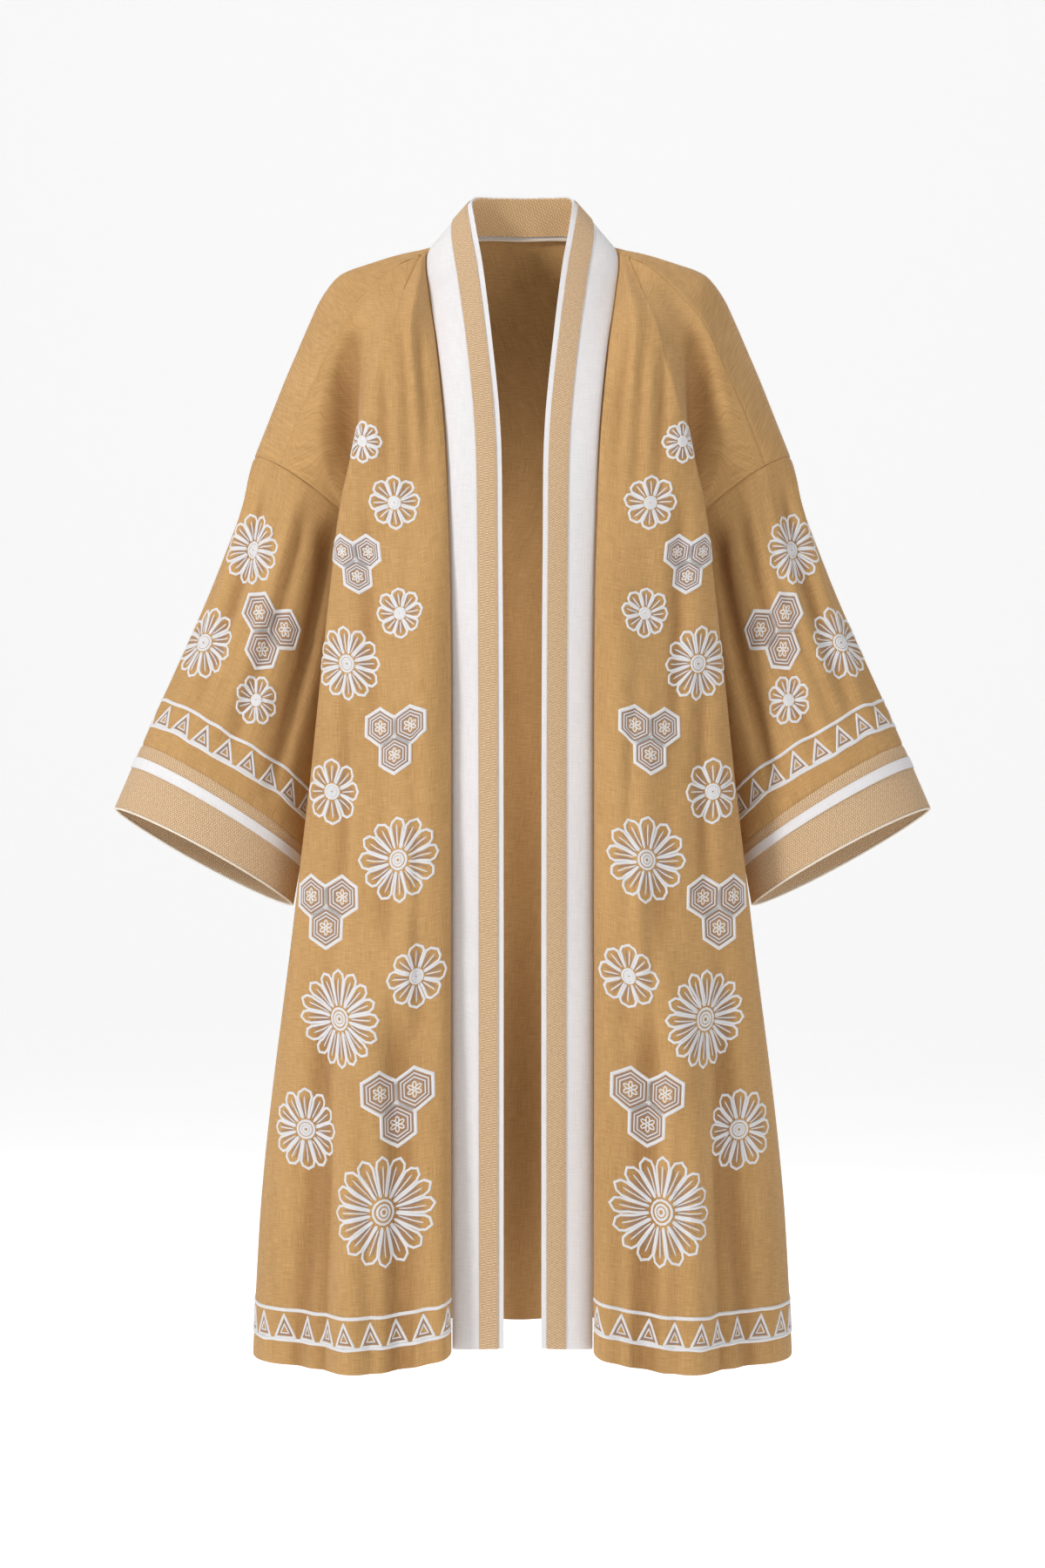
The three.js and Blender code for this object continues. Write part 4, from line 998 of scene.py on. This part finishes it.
# Sewing. Running stitches by machine: tan along both edges of the collar webbing, white along the cuff tapes,
# and ochre round the turned-up hem, where they show on the inside.
STITCH = 0.0026
STITCH_GAP = 0.0013
STITCH_SIZE = (0.0007, 0.00028)
STITCH_INSET = 0.0016
HEM_DEPTH = 0.040
tan_thread = thread_material("tan_thread", (0.66, 0.48, 0.31), 900)
ochre_thread = thread_material("ochre_thread", (0.46, 0.28, 0.13), 900)


def stitches(line):
    """Short straight stitches along a flat line."""
    line = np.array(line, float)
    length = np.insert(np.cumsum(np.linalg.norm(np.diff(line, axis=0), axis=1)), 0, 0)
    starts = np.arange(STITCH_GAP, length[-1] - STITCH, STITCH + STITCH_GAP)
    place = lambda at: np.stack([np.interp(at, length, line[:, 0]), np.interp(at, length, line[:, 1])], axis=1)
    return [([a, b], False) for a, b in zip(place(starts), place(starts + STITCH))]


def edge_rows(panel):
    """Flat lines just inside both long edges of a tape."""
    across, down = panel["across"], panel["down"]
    low, high = across.min(axis=0) + STITCH_INSET, across.max(axis=0) - STITCH_INSET
    middle = down.mean(axis=0)
    return [np.stack([low, middle], axis=1), np.stack([high, middle], axis=1)]


collar_tape_panel = {
    "points": tape_points, "normals": normals_of(tape_points), "across": tape_across, "down": tape_down,
}
sewn = [stitch for line in edge_rows(collar_tape_panel) for stitch in stitches(line)]
couch("collar_webbing_stitches", collar_tape_panel, sewn, STITCH_SIZE, tan_thread)

for side in ("left", "right"):
    tape_panel = cuffs[side]["tape_panel"]
    sewn = []
    for row, inset in ((0, STITCH_INSET), (-1, -STITCH_INSET)):
        line = np.stack([tape_panel["across"][row], tape_panel["down"][row] + inset], axis=1)
        sewn += stitches(line[np.argsort(line[:, 0])])
    couch(f"cuff_{side}_stitches", tape_panel, sewn, STITCH_SIZE, white_thread)

for name, panel in (("front_left", front_left), ("front_right", front_right), ("back", back)):
    line = hem_line(panel, HEM_DEPTH, 0.004, 0.996, 120)
    couch(f"{name}_hem_stitches", panel, stitches(line), STITCH_SIZE, ochre_thread, under=CLOTH_THICK)
